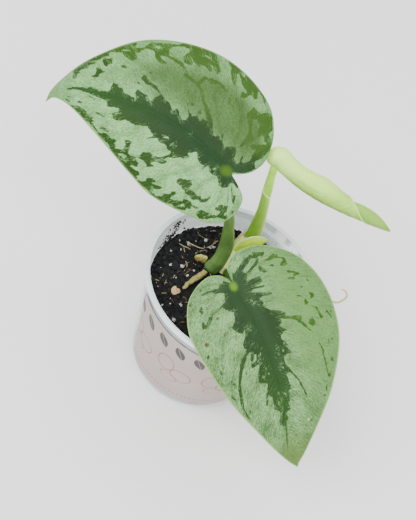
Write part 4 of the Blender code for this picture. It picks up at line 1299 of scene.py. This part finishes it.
@dataclass
class NurseryPot:
    """The thin clear pot, turned about Z, with drain holes in its base."""

    height: float = 54.0
    base_radius: float = 22.5
    base_edge: float = 1.2
    base_thickness: float = 1.2
    wall_top_radius: float = 28.9
    wall_thickness: float = 0.8
    neck_height: float = 50.6
    neck_radius: float = 29.3
    flange_radius: float = 30.2
    flange_thickness: float = 1.3
    drain_holes: int = 5
    drain_radius: float = 1.8
    drain_circle: float = 15.0
    drain_turn: float = 18.0
    drain_sides: int = 28
    sides: int = 160

    def wall_radius(self, height: float | Array) -> float | Array:
        """The wall's outer radius at a height: a straight run from base to neck."""
        share = (height - self.base_edge) / (self.neck_height - self.base_edge)
        return self.base_radius + (self.wall_top_radius - self.base_radius) * share

    def inner_radius(self, height: float | Array) -> float | Array:
        """The wall's inner radius at a height."""
        return self.wall_radius(height) - self.wall_thickness

    def profile(self) -> Array:
        """Radius and height from the middle of the underside, out, up, over the rolled flange
        and down the inside to the middle of the floor."""
        floor = self.inner_radius(self.base_thickness + 1.0)
        inside = self.neck_radius - self.wall_thickness
        edge, flat = self.base_edge, self.base_radius - self.base_edge
        turns = np.linspace(0, math.pi / 2, 6)
        corner = [(flat + edge * math.sin(t), edge * (1 - math.cos(t))) for t in turns]
        heights = np.linspace(self.base_edge, self.neck_height, 14)[1:]
        wall = [(float(self.wall_radius(z)), float(z)) for z in heights]
        top, under = self.height, self.height - self.flange_thickness
        neck, out, lip = self.neck_radius, self.flange_radius, self.neck_height + 0.6
        flange = [(neck, lip), (neck, under - 0.15), (neck + 0.15, under), (out - 0.25, under),
                  (out, under + 0.25), (out, top - 0.45), (out - 0.13, top - 0.13), (out - 0.45, top),
                  (inside + 0.35, top), (inside + 0.1, top - 0.12), (inside, top - 0.4), (inside, lip)]
        inner = [(r - self.wall_thickness, z) for r, z in reversed(wall)]
        inner = [(r, z) for r, z in inner if z > self.base_thickness + 1.2]
        bottom = [(floor, self.base_thickness + 0.9), (floor - 0.3, self.base_thickness + 0.3),
                  (floor - 0.9, self.base_thickness), (0.0, self.base_thickness)]
        return np.array([(0.0, 0.0)] + corner + wall + flange + inner + bottom)

    def build(self) -> Piece:
        """The turned wall with its holes cut."""
        line = self.profile()
        angle = np.linspace(0.0, math.tau, self.sides, endpoint=False)
        surface = Surface.wrapped(turned(line[:, :1], angle, line[:, 1:]))
        pot = surface.piece("nursery_pot", [FrostedPlastic("frosted_plastic")], "pot", ["pot"])
        self.cut(pot)
        numbers = np.empty(len(pot.data.vertices) * 3)
        pot.data.vertices.foreach_get("co", numbers)
        x, y, z = numbers.reshape(-1, 3).T / MM
        middle = self.wall_radius(np.clip(z, self.base_edge, self.neck_height)) - self.wall_thickness / 2
        inside = np.hypot(x, y) < middle
        layer = pot.data.attributes.new("inner", "FLOAT", "POINT")
        layer.data.foreach_set("value", inside.astype(np.float32))
        pot.data.set_sharp_from_angle(angle=math.radians(40))
        return pot

    def cut(self, pot: Piece) -> None:
        """Takes the drain holes out of the base."""
        group = bpy.data.collections.new("drain_cutters")
        turn = np.linspace(0.0, math.tau, self.drain_sides, endpoint=False)
        reach = np.array([[0.0], [self.drain_radius], [self.drain_radius], [0.0]])
        height = np.array([[-1.0], [-1.0], [3.0], [3.0]])
        for i in range(self.drain_holes):
            middle = math.tau * i / self.drain_holes + math.radians(self.drain_turn)
            rod = turned(reach, turn, height) + turned(self.drain_circle, middle, 0.0)
            mesh = Surface.wrapped(rod).welded().mesh(f"drain_cutter_{i}")
            group.objects.link(bpy.data.objects.new(mesh.name, mesh))
        change = pot.modifiers.new("holes", "BOOLEAN")
        change.operation, change.solver = "DIFFERENCE", "MANIFOLD"
        change.operand_type, change.collection = "COLLECTION", group
        bpy.context.view_layer.update()
        done = bpy.data.meshes.new_from_object(pot.evaluated_get(bpy.context.evaluated_depsgraph_get()))
        pot.modifiers.clear()
        pot.data = done
        for cutter in list(group.objects):
            bpy.data.objects.remove(cutter, do_unlink=True)
        bpy.data.collections.remove(group)


@dataclass
class WrapLabel:
    """The label round the wall, between two heights and two angles."""

    pot: NurseryPot
    bottom: float = 4.6
    top: float = 48.2
    start: float = -140.0
    end: float = 100.0
    gap: float = 0.3
    thickness: float = 0.25
    sheet_radius: float = 26.0

    def build(self) -> Piece:
        """A sheet on the wall's cone: its radius is the wall's plus the gap, with a slow ripple
        where the paper stands off; the far skin lies its thickness further out."""
        columns, rows = 260, 46
        angle = np.radians(np.linspace(self.start, self.end, columns))[:, None]
        height = np.linspace(self.bottom, self.top, rows)[None, :]
        ripple = 0.06 * (1 + lumps(together(angle * self.sheet_radius, height), 16.0, 8)) / 2
        inner = self.pot.wall_radius(height) + self.gap + ripple
        outer = inner + self.thickness * 0.9
        section = np.concatenate([outer, inner[:, ::-1]], axis=1)
        tall = np.concatenate([height, height[:, ::-1]], axis=1)
        face = np.concatenate([np.ones(rows), np.zeros(rows)])
        sheet = together(angle * self.sheet_radius, tall, face)
        band = Surface.wrapped(turned(section, angle, tall), sheet=sheet)
        caps = []
        for first in (0, (columns - 1) * 2 * rows):
            k = np.arange(rows - 1)
            a, b = first + k, first + 2 * rows - 1 - k
            caps.append(np.concatenate([np.stack([a, a + 1, b - 1], -1), np.stack([a, b - 1, b], -1)]))
        whole = Surface(band.points, np.vstack([band.faces, *caps]), band.values)
        label = whole.piece("wrap_label", [LabelPaper("label_paper")], "label", ["label"])
        label.data.set_sharp_from_angle(angle=math.radians(50))
        return label


def grains(name: str, finish: Finish, centres: Array, sizes: Array, seed: int, rough: float,
           level: int = 1) -> Piece:
    """Many small grains as a piece of the soil. Each is a ball whose points move in or out by
    chance, and which is stretched by its sizes, turned at random and moved to its centre.

    Args:
        name: the piece's name.
        finish: what the grains are made of.
        centres: their places.
        sizes: their half sizes in three directions.
        seed: picks their turns and their relief.
        rough: how far their points move, as a share of their size.
        level: how finely the ball is divided.

    Returns:
        The object.
    """
    random = np.random.default_rng(seed)
    ball = bmesh.new()
    bmesh.ops.create_icosphere(ball, subdivisions=level, radius=1.0)
    base = np.array([corner.co[:] for corner in ball.verts])
    faces = np.array([[corner.index for corner in face.verts] for face in ball.faces])
    ball.free()
    count = len(centres)
    turn = np.linalg.qr(random.normal(size=(count, 3, 3)))[0]
    shape = base[None] * (1 + rough * random.uniform(-1, 1, (count, len(base), 1)))
    shape = np.einsum("nij,nkj->nki", turn, shape * sizes[:, None, :]) + centres[:, None]
    every = (faces[None] + (np.arange(count) * len(base))[:, None, None]).reshape(-1, 3)
    return Surface(shape.reshape(-1, 3), every).piece(name, [finish], "soil", ["soil"], smooth=False)


@dataclass
class SoilFill:
    """The peat mix: a crumbly top on a plain fill, with loose crumbs, perlite, fibres and bark."""

    pot: NurseryPot
    top: float = 45.0
    relief: float = 0.45
    gap: float = 0.3
    floor: float = 1.5
    loose: int = 1700
    dirt: int = 110
    dirt_left: int = 90
    clods: int = 190
    small_perlite: int = 190
    flakes: int = 46
    short_fibres: int = 64

    def ground(self, x: Array, y: Array) -> Array:
        """The height of the CAD soil: long waves that fade at the plant and the root."""
        waves = (np.sin(0.55 * x + 1.1) * np.cos(0.47 * y - 0.6) + 0.6 * np.sin(1.05 * x - 0.83 * y + 2.0)
                 + 0.4 * np.cos(1.6 * y + 0.9 * x))
        plant = np.clip((np.hypot(x + 7.5, y - 6.5) - 8.0) / 5.0, 0.0, 1.0)
        root = np.clip((np.hypot(x + 11.4, np.clip(np.abs(y + 4.0) - 5.0, 0.0, None)) - 1.8) / 2.5, 0.0, 1.0)
        return self.top + self.relief * (waves * plant * root - 0.5 * (1.0 - plant * root))

    def crumbled(self, x: Array, y: Array) -> Array:
        """The ground with crumbs: lumps of four sizes, the two middle ones as rounded tops."""
        flat = together(x, y)
        return (self.ground(x, y) + 0.30 * lumps(flat, 3.6, 1) + 0.34 * (1 - np.abs(lumps(flat, 1.9, 2)))
                + 0.24 * (1 - np.abs(lumps(flat, 0.95, 3))) + 0.09 * lumps(flat, 0.6, 4) - 0.30)

    def fill(self) -> Surface:
        """The body: rings on the crumbled top, then down the wall and under, closed at both
        middles; it keeps the gap off the wall."""
        rings, sides = 96, 260
        radius = self.pot.inner_radius(self.top) - self.gap
        reach = radius * np.linspace(0.0, 1.0, rings)[:, None]
        angle = np.linspace(0.0, math.tau, sides, endpoint=False)[None, :]
        x, y = reach * np.cos(angle), reach * np.sin(angle)
        rows = [together(x, y, self.crumbled(x, y))]
        for height in (43.6, 36.0, 28.0, 20.0, 12.0, 5.0, self.floor + 1.6, self.floor):
            edge = self.pot.inner_radius(height) - self.gap - (1.0 if height == self.floor else 0.0)
            around = edge + 0.10 * lumps(together(angle * 24, height), 3.0, 9) - 0.1
            rows.append(turned(around, angle, height))
        rows.append(turned(0.0, angle, self.floor))
        return Surface.wrapped(np.concatenate(rows))

    def clear_of_plant(self, x: Array, y: Array, margin: float = 0.0) -> Array:
        """Tells where a grain may lie, off the stem and both roots.

        Args:
            x, y: the places.
            margin: how much further off the stem and the thick root, in millimetres.

        Returns:
            True or False for each place.
        """
        stem = np.hypot(x + 7.0, y - 9.0) > 5.0 + margin
        root = ~((x > -14.0) & (x < -8.8) & (y > -9.6 - margin) & (y < 2.6 + margin))
        stub = ~((x > -16.4) & (x < -11.5) & (y > 3.6) & (y < 7.2))
        return stem & root & stub

    def sown(self, count: int, seed: int, margin: float = 0.0) -> tuple[Array, Array]:
        """Places spread evenly over the soil by a seeded rule, off the plant.

        Args:
            count: how many at most.
            seed: picks them.
            margin: as in clear_of_plant.

        Returns:
            Their x and y.
        """
        random = np.random.default_rng(seed)
        radius = self.pot.wall_radius(self.top) - 2.6
        angle = random.uniform(0, math.tau, count * 2)
        reach = radius * np.sqrt(random.uniform(0, 1, count * 2))
        x, y = reach * np.cos(angle), reach * np.sin(angle)
        keep = self.clear_of_plant(x, y, margin)
        return x[keep][:count], y[keep][:count]

    def crumbs(self) -> Piece:
        """Loose peat crumbs, half sunk, the dirt that clings to the far wall, most of it on the
        left, and a heap of clods against the back wall."""
        x, y = self.sown(self.loose, 31)
        random = np.random.default_rng(32)
        size = 0.28 + 1.0 * random.uniform(0, 1, (len(x), 1)) ** 3.0
        sizes = size * random.uniform(0.5, 1.2, (len(x), 3))
        centres = together(x, y, self.crumbled(x, y) + size[:, 0] * 0.25)
        count = self.dirt
        height = self.top + 6.5 * random.uniform(0, 1, count) ** 1.3
        left = np.arange(count) < self.dirt_left
        slanted = 166 - 2.0 * (height - 47) + random.normal(size=count) * 6
        angle = np.radians(np.where(left, slanted, random.uniform(60, 100, count)))
        reach = np.minimum(self.pot.wall_radius(height), self.pot.neck_radius) - self.pot.wall_thickness - 0.1
        walls = turned(reach, angle, height)
        bits = (random.uniform(0.10, 0.55, (count, 1)) * random.uniform(0.4, 1.2, (count, 3))
                * np.where(left, 1.0, 0.5)[:, None])
        random = np.random.default_rng(34)
        count = self.clods
        angle, inwards = np.radians(random.uniform(72, 212, count)), random.uniform(0, 1, count)
        clods = random.uniform(0.35, 1.05, (count, 1)) * random.uniform(0.6, 1.2, (count, 3))
        reach = self.pot.inner_radius(self.top) - 0.1 - clods.max(axis=1) - 2.4 * inwards
        x, y = reach * np.cos(angle), reach * np.sin(angle)
        rise = self.crumbled(x, y) + random.uniform(-0.2, 1.5, count) * (1.0 - inwards) ** 1.5
        centres = np.vstack([centres, walls, together(x, y, rise)])
        sizes = np.vstack([sizes, bits, clods])
        return grains("peat_crumbs", Peat("peat_crumb", 1.3), centres, sizes, 33, 0.3)

    def perlite(self) -> Piece:
        """White perlite: the grains seen in the photograph, then many small ones between."""
        placed = np.array([
            (-23.4, 2.6, 0.45), (-23.7, 5.1, 0.35), (-21, 5.5, 0.4), (-21, -2.4, 0.5), (-17.5, -0.4, 0.85),
            (-19.5, 1, 0.4), (-13.2, 1, 0.6), (-14.2, -2.1, 0.75), (-16.9, -5.9, 0.4), (-16.7, -13.4, 0.45),
            (-10.6, -14.5, 0.7), (-10, -20.1, 0.7), (-15.8, -18, 0.4), (-23.2, 8.6, 0.6), (-19.9, 9.8, 0.75),
            (-12, 13.7, 0.8), (-23.1, -5.7, 0.45), (-12.8, 12.6, 0.7), (-15.5, 14.4, 1.25)])
        x, y = self.sown(self.small_perlite, 51, 0.4)
        random = np.random.default_rng(52)
        size = np.concatenate([placed[:, 2], 0.12 + 0.38 * random.uniform(0, 1, len(x)) ** 2.5])[:, None]
        x, y = np.concatenate([placed[:, 0], x]), np.concatenate([placed[:, 1], y])
        sizes = size * random.uniform(0.55, 1.2, (len(x), 3))
        centres = together(x, y, self.crumbled(x, y) + size[:, 0] * 0.3)
        white = Grain("perlite_grain", tint(232, 236, 228), tint(150, 150, 140), 0.36)
        return grains("perlite", white, centres, sizes, 53, 0.30)

    def chips(self) -> Piece:
        """Dark flat flakes of bark."""
        x, y = self.sown(self.flakes, 61, 0.4)
        random = np.random.default_rng(62)
        centres = together(x, y, self.crumbled(x, y) + 0.25)
        flat = np.array([[1.3, 0.8, 0.35]])
        sizes = random.uniform(0.35, 1.0, (len(x), 1)) * flat * random.uniform(0.8, 1.2, (len(x), 3))
        brown = Grain("bark_flake", tint(120, 94, 72), tint(70, 54, 44), 0.4)
        return grains("bark_flakes", brown, centres, sizes, 63, 0.2, 2)

    def pale_chip(self) -> Piece:
        """The pale bark chip by the root: three rough lumps grown together."""
        centres = np.array([(-14.9, -10.9, 45.7), (-13.9, -10.4, 46.0), (-15.4, -10.0, 46.1)])
        sizes = np.array([(1.6, 1.15, 0.95), (0.9, 0.8, 0.7), (0.8, 0.6, 0.6)])
        pale = Grain("bark_pale", tint(236, 208, 156), tint(176, 136, 88), 0.16)
        return grains("bark_chip", pale, centres, sizes, 66, 0.20, 3)

    def fibres(self) -> Piece:
        """Thin bent fibres lying on the peat: three seen in the photograph, and short ones that
        keep their heading but wander, each a little above the crumbs."""
        paths = [[(-21, 9.8), (-19.3, 9.8), (-17, 10), (-14.8, 10.9), (-13.3, 12.7), (-12.5, 15.1),
                  (-11.6, 17.4)], [(-16.2, 7.1), (-15.3, 8.6), (-13.8, 11)],
                 [(-17.7, 17.9), (-15.7, 18.8), (-13.6, 20.1)]]
        thick = [0.20, 0.15, 0.17]
        random = np.random.default_rng(71)
        along = np.linspace(-0.5, 0.5, 7)[:, None]
        for x, y in zip(*self.sown(self.short_fibres, 72)):
            length, heading = random.uniform(2.0, 7.5), random.uniform(0, math.tau)
            bend = random.uniform(-1.4, 1.4)
            ahead = np.array([math.cos(heading), math.sin(heading)])
            aside = np.array([-ahead[1], ahead[0]])
            path = np.array([x, y]) + length * (along * ahead + bend * along ** 2 * aside)
            out = np.maximum(np.hypot(*path.T) / (self.pot.wall_radius(self.top) - 1.8), 1.0)
            paths.append(path / out[:, None])
            thick.append(random.uniform(0.06, 0.15))
        skin = RootSkin("fibre_skin", tint(206, 190, 156), tint(120, 102, 76), 0.22)
        parts = []
        for path, size in zip(paths, thick):
            x, y = smooth_through(path, 9).T
            rise = self.crumbled(x, y) + 0.3
            route = together(x, y, np.maximum(rise, rise.mean() - 0.1))
            fibre = Stalk("fibre", route, [size] * 3, [size] * 3, (0.3, 0.4, 1.0), skin, "soil", ["soil"],
                          rings=26, sides=5, dome=0.1)
            parts.append(fibre.surface())
        return sum(parts[1:], parts[0]).piece("peat_fibres", [skin], "soil", ["soil"])

    def build(self) -> list[Piece]:
        """The fill and everything in it."""
        body = self.fill().piece("soil_fill", [Peat("peat")], "soil", ["soil"])
        return [body, self.crumbs(), self.perlite(), self.chips(), self.pale_chip(), self.fibres()]


# Studio


class Softness(Enum):
    """How wide a light is, in metres."""

    KEY = 1.1
    FILL = 1.8
    TOP = 1.4


@dataclass
class Studio:
    """The pale floor, soft lights and the camera at the photograph's angle."""

    place: Place = (0.0, -0.1769, 0.2949)
    right: Place = (0.8534, 0.4367, 0.2846)
    up: Place = (-0.52, 0.6757, 0.5225)
    forward: Place = (-0.0358, 0.5939, -0.8038)
    lens: float = 62.3

    def camera(self) -> None:
        """The camera: its matrix holds right, up and backward directions and its place."""
        camera = bpy.data.cameras.new("camera")
        camera.lens, camera.sensor_width, camera.sensor_fit = self.lens, 36.0, "AUTO"
        camera.clip_start, camera.clip_end = 0.01, 20.0
        obj = bpy.data.objects.new("camera", camera)
        axes = np.stack([self.right, self.up, -np.array(self.forward), self.place], axis=1)
        obj.matrix_world = Matrix(np.vstack([axes, [0, 0, 0, 1]]).tolist())
        bpy.context.scene.collection.objects.link(obj)
        bpy.context.scene.camera = obj

    def light(self, name: str, place: Place, softness: Softness, watts: float) -> None:
        """A square light that faces the plant.

        Args:
            name: its name.
            place: where it stands, in metres.
            softness: how wide it is.
            watts: its power.
        """
        lamp = bpy.data.lights.new(name, "AREA")
        lamp.size, lamp.energy = softness.value, watts
        obj = bpy.data.objects.new(name, lamp)
        towards = np.array([0.0, 0.0, 0.06]) - np.array(place)
        towards /= np.linalg.norm(towards)
        aside = np.cross(towards, [0.0, 0.0, 1.0])
        aside /= np.linalg.norm(aside)
        over = np.cross(aside, towards)
        axes = np.stack([aside, over, -towards, place], axis=1)
        obj.matrix_world = Matrix(np.vstack([axes, [0, 0, 0, 1]]).tolist())
        bpy.context.scene.collection.objects.link(obj)

    def build(self) -> None:
        """Floor, world, lights and camera."""
        half = 3.0
        mesh = bpy.data.meshes.new("floor")
        corners = [(-half, -half, 0), (half, -half, 0), (half, half, 0), (-half, half, 0)]
        mesh.from_pydata(corners, [], [(0, 1, 2, 3)])
        mesh.materials.append(Floor("studio_floor").material())
        floor = bpy.data.objects.new("floor", mesh)
        bpy.context.scene.collection.objects.link(floor)
        world = bpy.data.worlds.new("studio")
        world.use_nodes = True
        world.node_tree.nodes["Background"].inputs[0].default_value = (1.0, 1.0, 1.0, 1.0)
        world.node_tree.nodes["Background"].inputs[1].default_value = 0.9
        bpy.context.scene.world = world
        self.light("key", (-0.85, -0.85, 1.75), Softness.KEY, 37.0)
        self.light("fill", (0.45, -1.15, 1.6), Softness.FILL, 34.0)
        self.light("top", (0.0, 0.8, 1.9), Softness.TOP, 14.5)
        self.camera()


# The plant's own sizes


def leaves() -> list[Blade]:
    """The two open leaves, with their finishes."""
    upper_face = LeafFace(
        "upper_leaf_satin", silver=tint(138, 190, 125), silver_deep=tint(92, 136, 78),
        silver_shaded=tint(60, 88, 38), dark=tint(21, 46, 10), dark_far=tint(51, 82, 24),
        margin=tint(112, 150, 84), tip=tint(80, 110, 40), joint=tint(66, 100, 16), sheen=tint(34, 66, 38),
        tip_start=57.0, joint_place=(0.3, 0.5, 2, 1.6), shade_off_at_rim=0.7)
    lower_face = LeafFace(
        "lower_leaf_satin", silver=tint(126, 170, 110), silver_deep=tint(72, 105, 56),
        silver_shaded=tint(104, 146, 80), dark=tint(27, 50, 21), dark_far=tint(50, 84, 24),
        margin=tint(150, 196, 104), tip=tint(88, 116, 50), joint=tint(96, 134, 36), sheen=tint(42, 72, 38),
        tip_start=46.0, joint_place=(-0.4, -0.7, 1.5, 1.2), quilt_shade=0.18, fray=1.0, grainy=1.3,
        spots=((-3.1, -10.7, 0.5, tint(56, 50, 30)), (6.9, -9.1, 0.55, tint(72, 48, 24)),
               (13.3, -15.1, 0.85, tint(70, 44, 20)), (48.4, 6.2, 0.6, tint(160, 190, 100))))
    upper = Blade(
        "blade_upper", (-18.5, 3.2, 95), heading=190, pitch=-2, roll=-34, camber=0.010, tip_drop=0.012,
        midrib=[(0, 0), (11, -4.4), (25, -7.7), (39, -8.2), (52, -8), (60.5, -6), (67.2, -1)],
        right=[(-1.4, 0.8), (-4, -0.2), (-7.2, -2.5), (-9.5, -7.2), (-9, -15.2), (-4.6, -23.2), (4.5, -29.1),
               (16, -32.2), (29.3, -31.6), (41.5, -27.8), (52.2, -19.8), (60.8, -12), (65.9, -5.2),
               (67.2, -1)],
        left=[(-1.4, 0.8), (-4.6, 3.3), (-7.3, 6.3), (-7.1, 10.8), (-4.3, 15), (0.4, 16.9), (6.9, 16.9),
              (19, 15.5), (27.3, 11.9), (36, 7.4), (45, 2.9), (53, -0.8), (59.9, -2.6), (64.8, -2.5),
              (67.2, -1)],
        dark=UPPER_DARK, light=UPPER_LIGHT, face=upper_face, shade_side=(-0.35, -0.93, -6, 10))
    lower = Blade(
        "blade_lower", (1.8, -12.9, 68.6), heading=-32, pitch=-18, roll=24, camber=0.013, tip_drop=0.008,
        midrib=[(0, 0), (12, 1.6), (24, 2), (37, 1.2), (49, -1.2), (57, -2.2), (65.6, -1.9)],
        right=[(-1.3, -0.5), (-3.8, -1.9), (-5.5, -4.1), (-6.1, -7.5), (-4.3, -12), (-0.5, -16), (7.1, -18.8),
               (14.7, -18.7), (24.2, -17.1), (35.1, -14.5), (48, -9.7), (57.6, -5.9), (65.6, -1.9)],
        left=[(-1.3, -0.5), (-6, -0.4), (-8.2, 0.9), (-10.2, 4.3), (-9.8, 11.6), (-5.3, 19), (0.2, 23.6),
              (8.1, 26.5), (18, 27.1), (29.1, 24.7), (42.5, 17), (53.9, 7.1), (62.2, -0.2), (65.6, -1.9)],
        dark=LOWER_DARK, light=LOWER_LIGHT, face=lower_face, shade_side=(0, 1, 4, 18), quilt=0.05)
    return [upper, lower]


def stalks() -> list[Stalk]:
    """The stem, the petioles and the roots."""
    green = StalkSkin("petiole_upper_skin", tint(103, 139, 70), tint(84, 117, 54), tint(154, 185, 98),
                      tint(79, 114, 56), foot_share=0.10, foot_blend=0.85)
    hidden = StalkSkin("petiole_lower_skin", tint(66, 99, 30), tint(48, 79, 20), tint(100, 130, 50),
                       tint(226, 228, 180), foot_share=0.22)
    lime = StalkSkin("petiole_new_skin", tint(146, 192, 56), tint(100, 146, 36), tint(204, 234, 116),
                     tint(186, 216, 96), foot_share=0.14, head_lift=1.0, sheath_share=0.71)
    cream = StalkSkin("stem_skin", tint(246, 250, 200), tint(214, 226, 130), tint(208, 222, 112),
                      tint(116, 110, 60), foot_share=0.30)
    thick = RootSkin("root_thick_skin", tint(156, 148, 92), tint(56, 44, 26), 0.42)
    stub = RootSkin("root_stub_skin", tint(196, 202, 112), tint(128, 118, 60), 0.16)
    aerial = RootSkin("root_aerial_skin", tint(198, 184, 120), tint(120, 92, 54), 0.16)
    stem_path = [(-5.2, 7.6, 40), (-5.2, 8.3, 46), (-5, 11, 52), (-3.4, 14.4, 58)]
    upper_path = [(-9.3, 3.5, 45), (-7.7, 6.4, 48.5), (-7.5, 8, 51.7), (-8.4, 9.4, 56.4), (-9.8, 9.1, 62.5),
                  (-11.6, 7.6, 71), (-14.4, 6, 80), (-17.4, 4.6, 90), (-18.35, 3.75, 94.4)]
    lower_path = [(-3.5, 6.9, 46.2), (-2.4, 2, 52), (0.2, -6, 60), (1.7, -12.5, 67.9)]
    new_path = [(-4.3, 13.2, 51), (-3.3, 14.8, 54.6), (-2.5, 16.2, 59.2), (-2.8, 16.8, 64), (-3.7, 17, 71),
                (-5.6, 17, 81), (-7.4, 16.5, 92), (-8, 16.4, 94.5)]
    thick_path = [(-9.5, 2, 46.4), (-10.1, 0, 46.5), (-11.2, -2.8, 46.5), (-12.2, -5.7, 46.4),
                  (-12.8, -8.8, 46.2)]
    stub_path = [(-11.4, 6.2, 46.5), (-12.9, 5.8, 46.7), (-14.3, 5.2, 46.7), (-15.5, 4.7, 46.4)]
    hook_path = [(-3.3, 10.8, 46.1), (4, 12.5, 48.5), (14, 11.5, 54.5), (24, 10, 57.5), (32.5, 11, 57.3),
                 (35, 14, 57), (35.6, 16.6, 56.8), (34.3, 18, 56.8), (32.9, 17.6, 57)]
    lower_size, thick_size = [1.7, 1.6, 1.4, 1.3], [1.05, 1, 0.95, 0.75, 0.55]
    hook_size = [0.75, 0.7, 0.65, 0.6, 0.5, 0.42, 0.38, 0.34, 0.28]
    return [
        Stalk("stem_internode", stem_path, [2.3, 2.5, 2.4, 2], [2.2, 2.4, 2.4, 2], (1, 0, 0), cream, "stem",
              ["stem"], wobble=0.05, band_at=200.0),
        Stalk("leaf_stalk_upper", upper_path, [3, 3, 2.55, 2, 1.75, 1.6, 1.45, 1.4, 1.4],
              [1.9, 1.9, 1.8, 1.65, 1.5, 1.4, 1.35, 1.3, 1.3], (0.86, 0.51, 0), green, "petiole_green",
              ["petiole_upper"], rings=150, groove=0.16, groove_at=300.0, wobble=0.03, band_width=38.0),
        Stalk("leaf_stalk_lower", lower_path, lower_size, lower_size, (1, 0, 0), hidden, "petiole_green",
              ["petiole_lower"], groove=0.15, wobble=0.02),
        Stalk("leaf_stalk_new", new_path, [1.9, 2.3, 2.35, 1.95, 1.65, 1.6, 1.35, 1.3],
              [1.6, 1.9, 1.9, 1.6, 1.5, 1.4, 1.2, 1.2], (0.85, 0.3, 0), lime, "petiole_lime",
              ["petiole_new"], rings=150, groove=0.16, groove_at=275.0, wobble=0.03, band_width=42.0),
        Stalk("root_on_soil", thick_path, thick_size, thick_size, (1, 0, 0), thick, "root", ["root_thick"],
              rings=110, sides=40, wobble=0.15, band_at=325.0, band_width=70.0, dome=0.06),
        Stalk("root_stub_end", stub_path, [1.3, 1.35, 1.2, 0.75], [1.1, 1.1, 1, 0.7], (0, 1, 0), stub, "root",
              ["root_stub"], rings=70, wobble=0.15, band_at=200.0, band_width=70.0, dome=0.12),
        Stalk("root_aerial", hook_path, hook_size, hook_size, (0, 0, 1), aerial, "root", ["root_hook"],
              rings=220, sides=18, wobble=0.05, wobble_size=1.0, band_at=180.0, band_width=80.0, dome=0.01),
    ]


def sheaths() -> list[Sheath]:
    """The pointed sheath at the new petiole's foot and the dry scale behind it."""
    lime = StalkSkin("cataphyll_skin", tint(206, 238, 50), tint(170, 206, 24), tint(246, 250, 200),
                     tint(240, 246, 180), foot_share=0.25)
    dry = StalkSkin("dry_scale_skin", tint(246, 232, 204), tint(222, 190, 150), tint(250, 244, 224),
                    tint(206, 176, 130), roughness=0.65)
    pointed_path = [(-4.8, 11.4, 49.6), (-3.8, 11.6, 53.4), (-2.3, 11.9, 57.8), (-0.8, 12.7, 60.3),
                    (1, 13.8, 61.6), (2.9, 15.1, 62.4)]
    dry_path = [(-6, 14.6, 51), (-5.4, 15.5, 55), (-5.2, 16.7, 58.6)]
    return [
        Sheath("pointed_sheath", pointed_path, [2, 2.7, 3.1, 2.9, 2, 0.4], (0.67, 0.73, -0.09),
               (0.50, -0.35, -0.80), lime, "petiole_lime", ["cataphyll"]),
        Sheath("dry_scale_leaf", dry_path, [1.3, 1.15, 0.35], (-0.95, -0.30, 0), (-0.95, -0.30, 0), dry,
               "dry_scale", ["dry_scale"], thickness=0.25),
    ]


def main() -> None:
    """Builds the studio and every piece, in order."""
    logging.basicConfig(level=logging.INFO, format="%(name)s %(message)s")
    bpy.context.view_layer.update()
    Studio().build()
    pot = NurseryPot()
    pieces = [pot.build(), WrapLabel(pot).build(), *SoilFill(pot).build()]
    pieces += [stalk.build() for stalk in stalks()]
    pieces += [sheath.build() for sheath in sheaths()]
    pieces += [blade.build() for blade in leaves()]
    pieces.append(RolledLeaf().build())
    for piece in pieces:
        log.info("%s: %d faces", piece.name, len(piece.data.polygons))


if __name__ == "__main__":
    main()
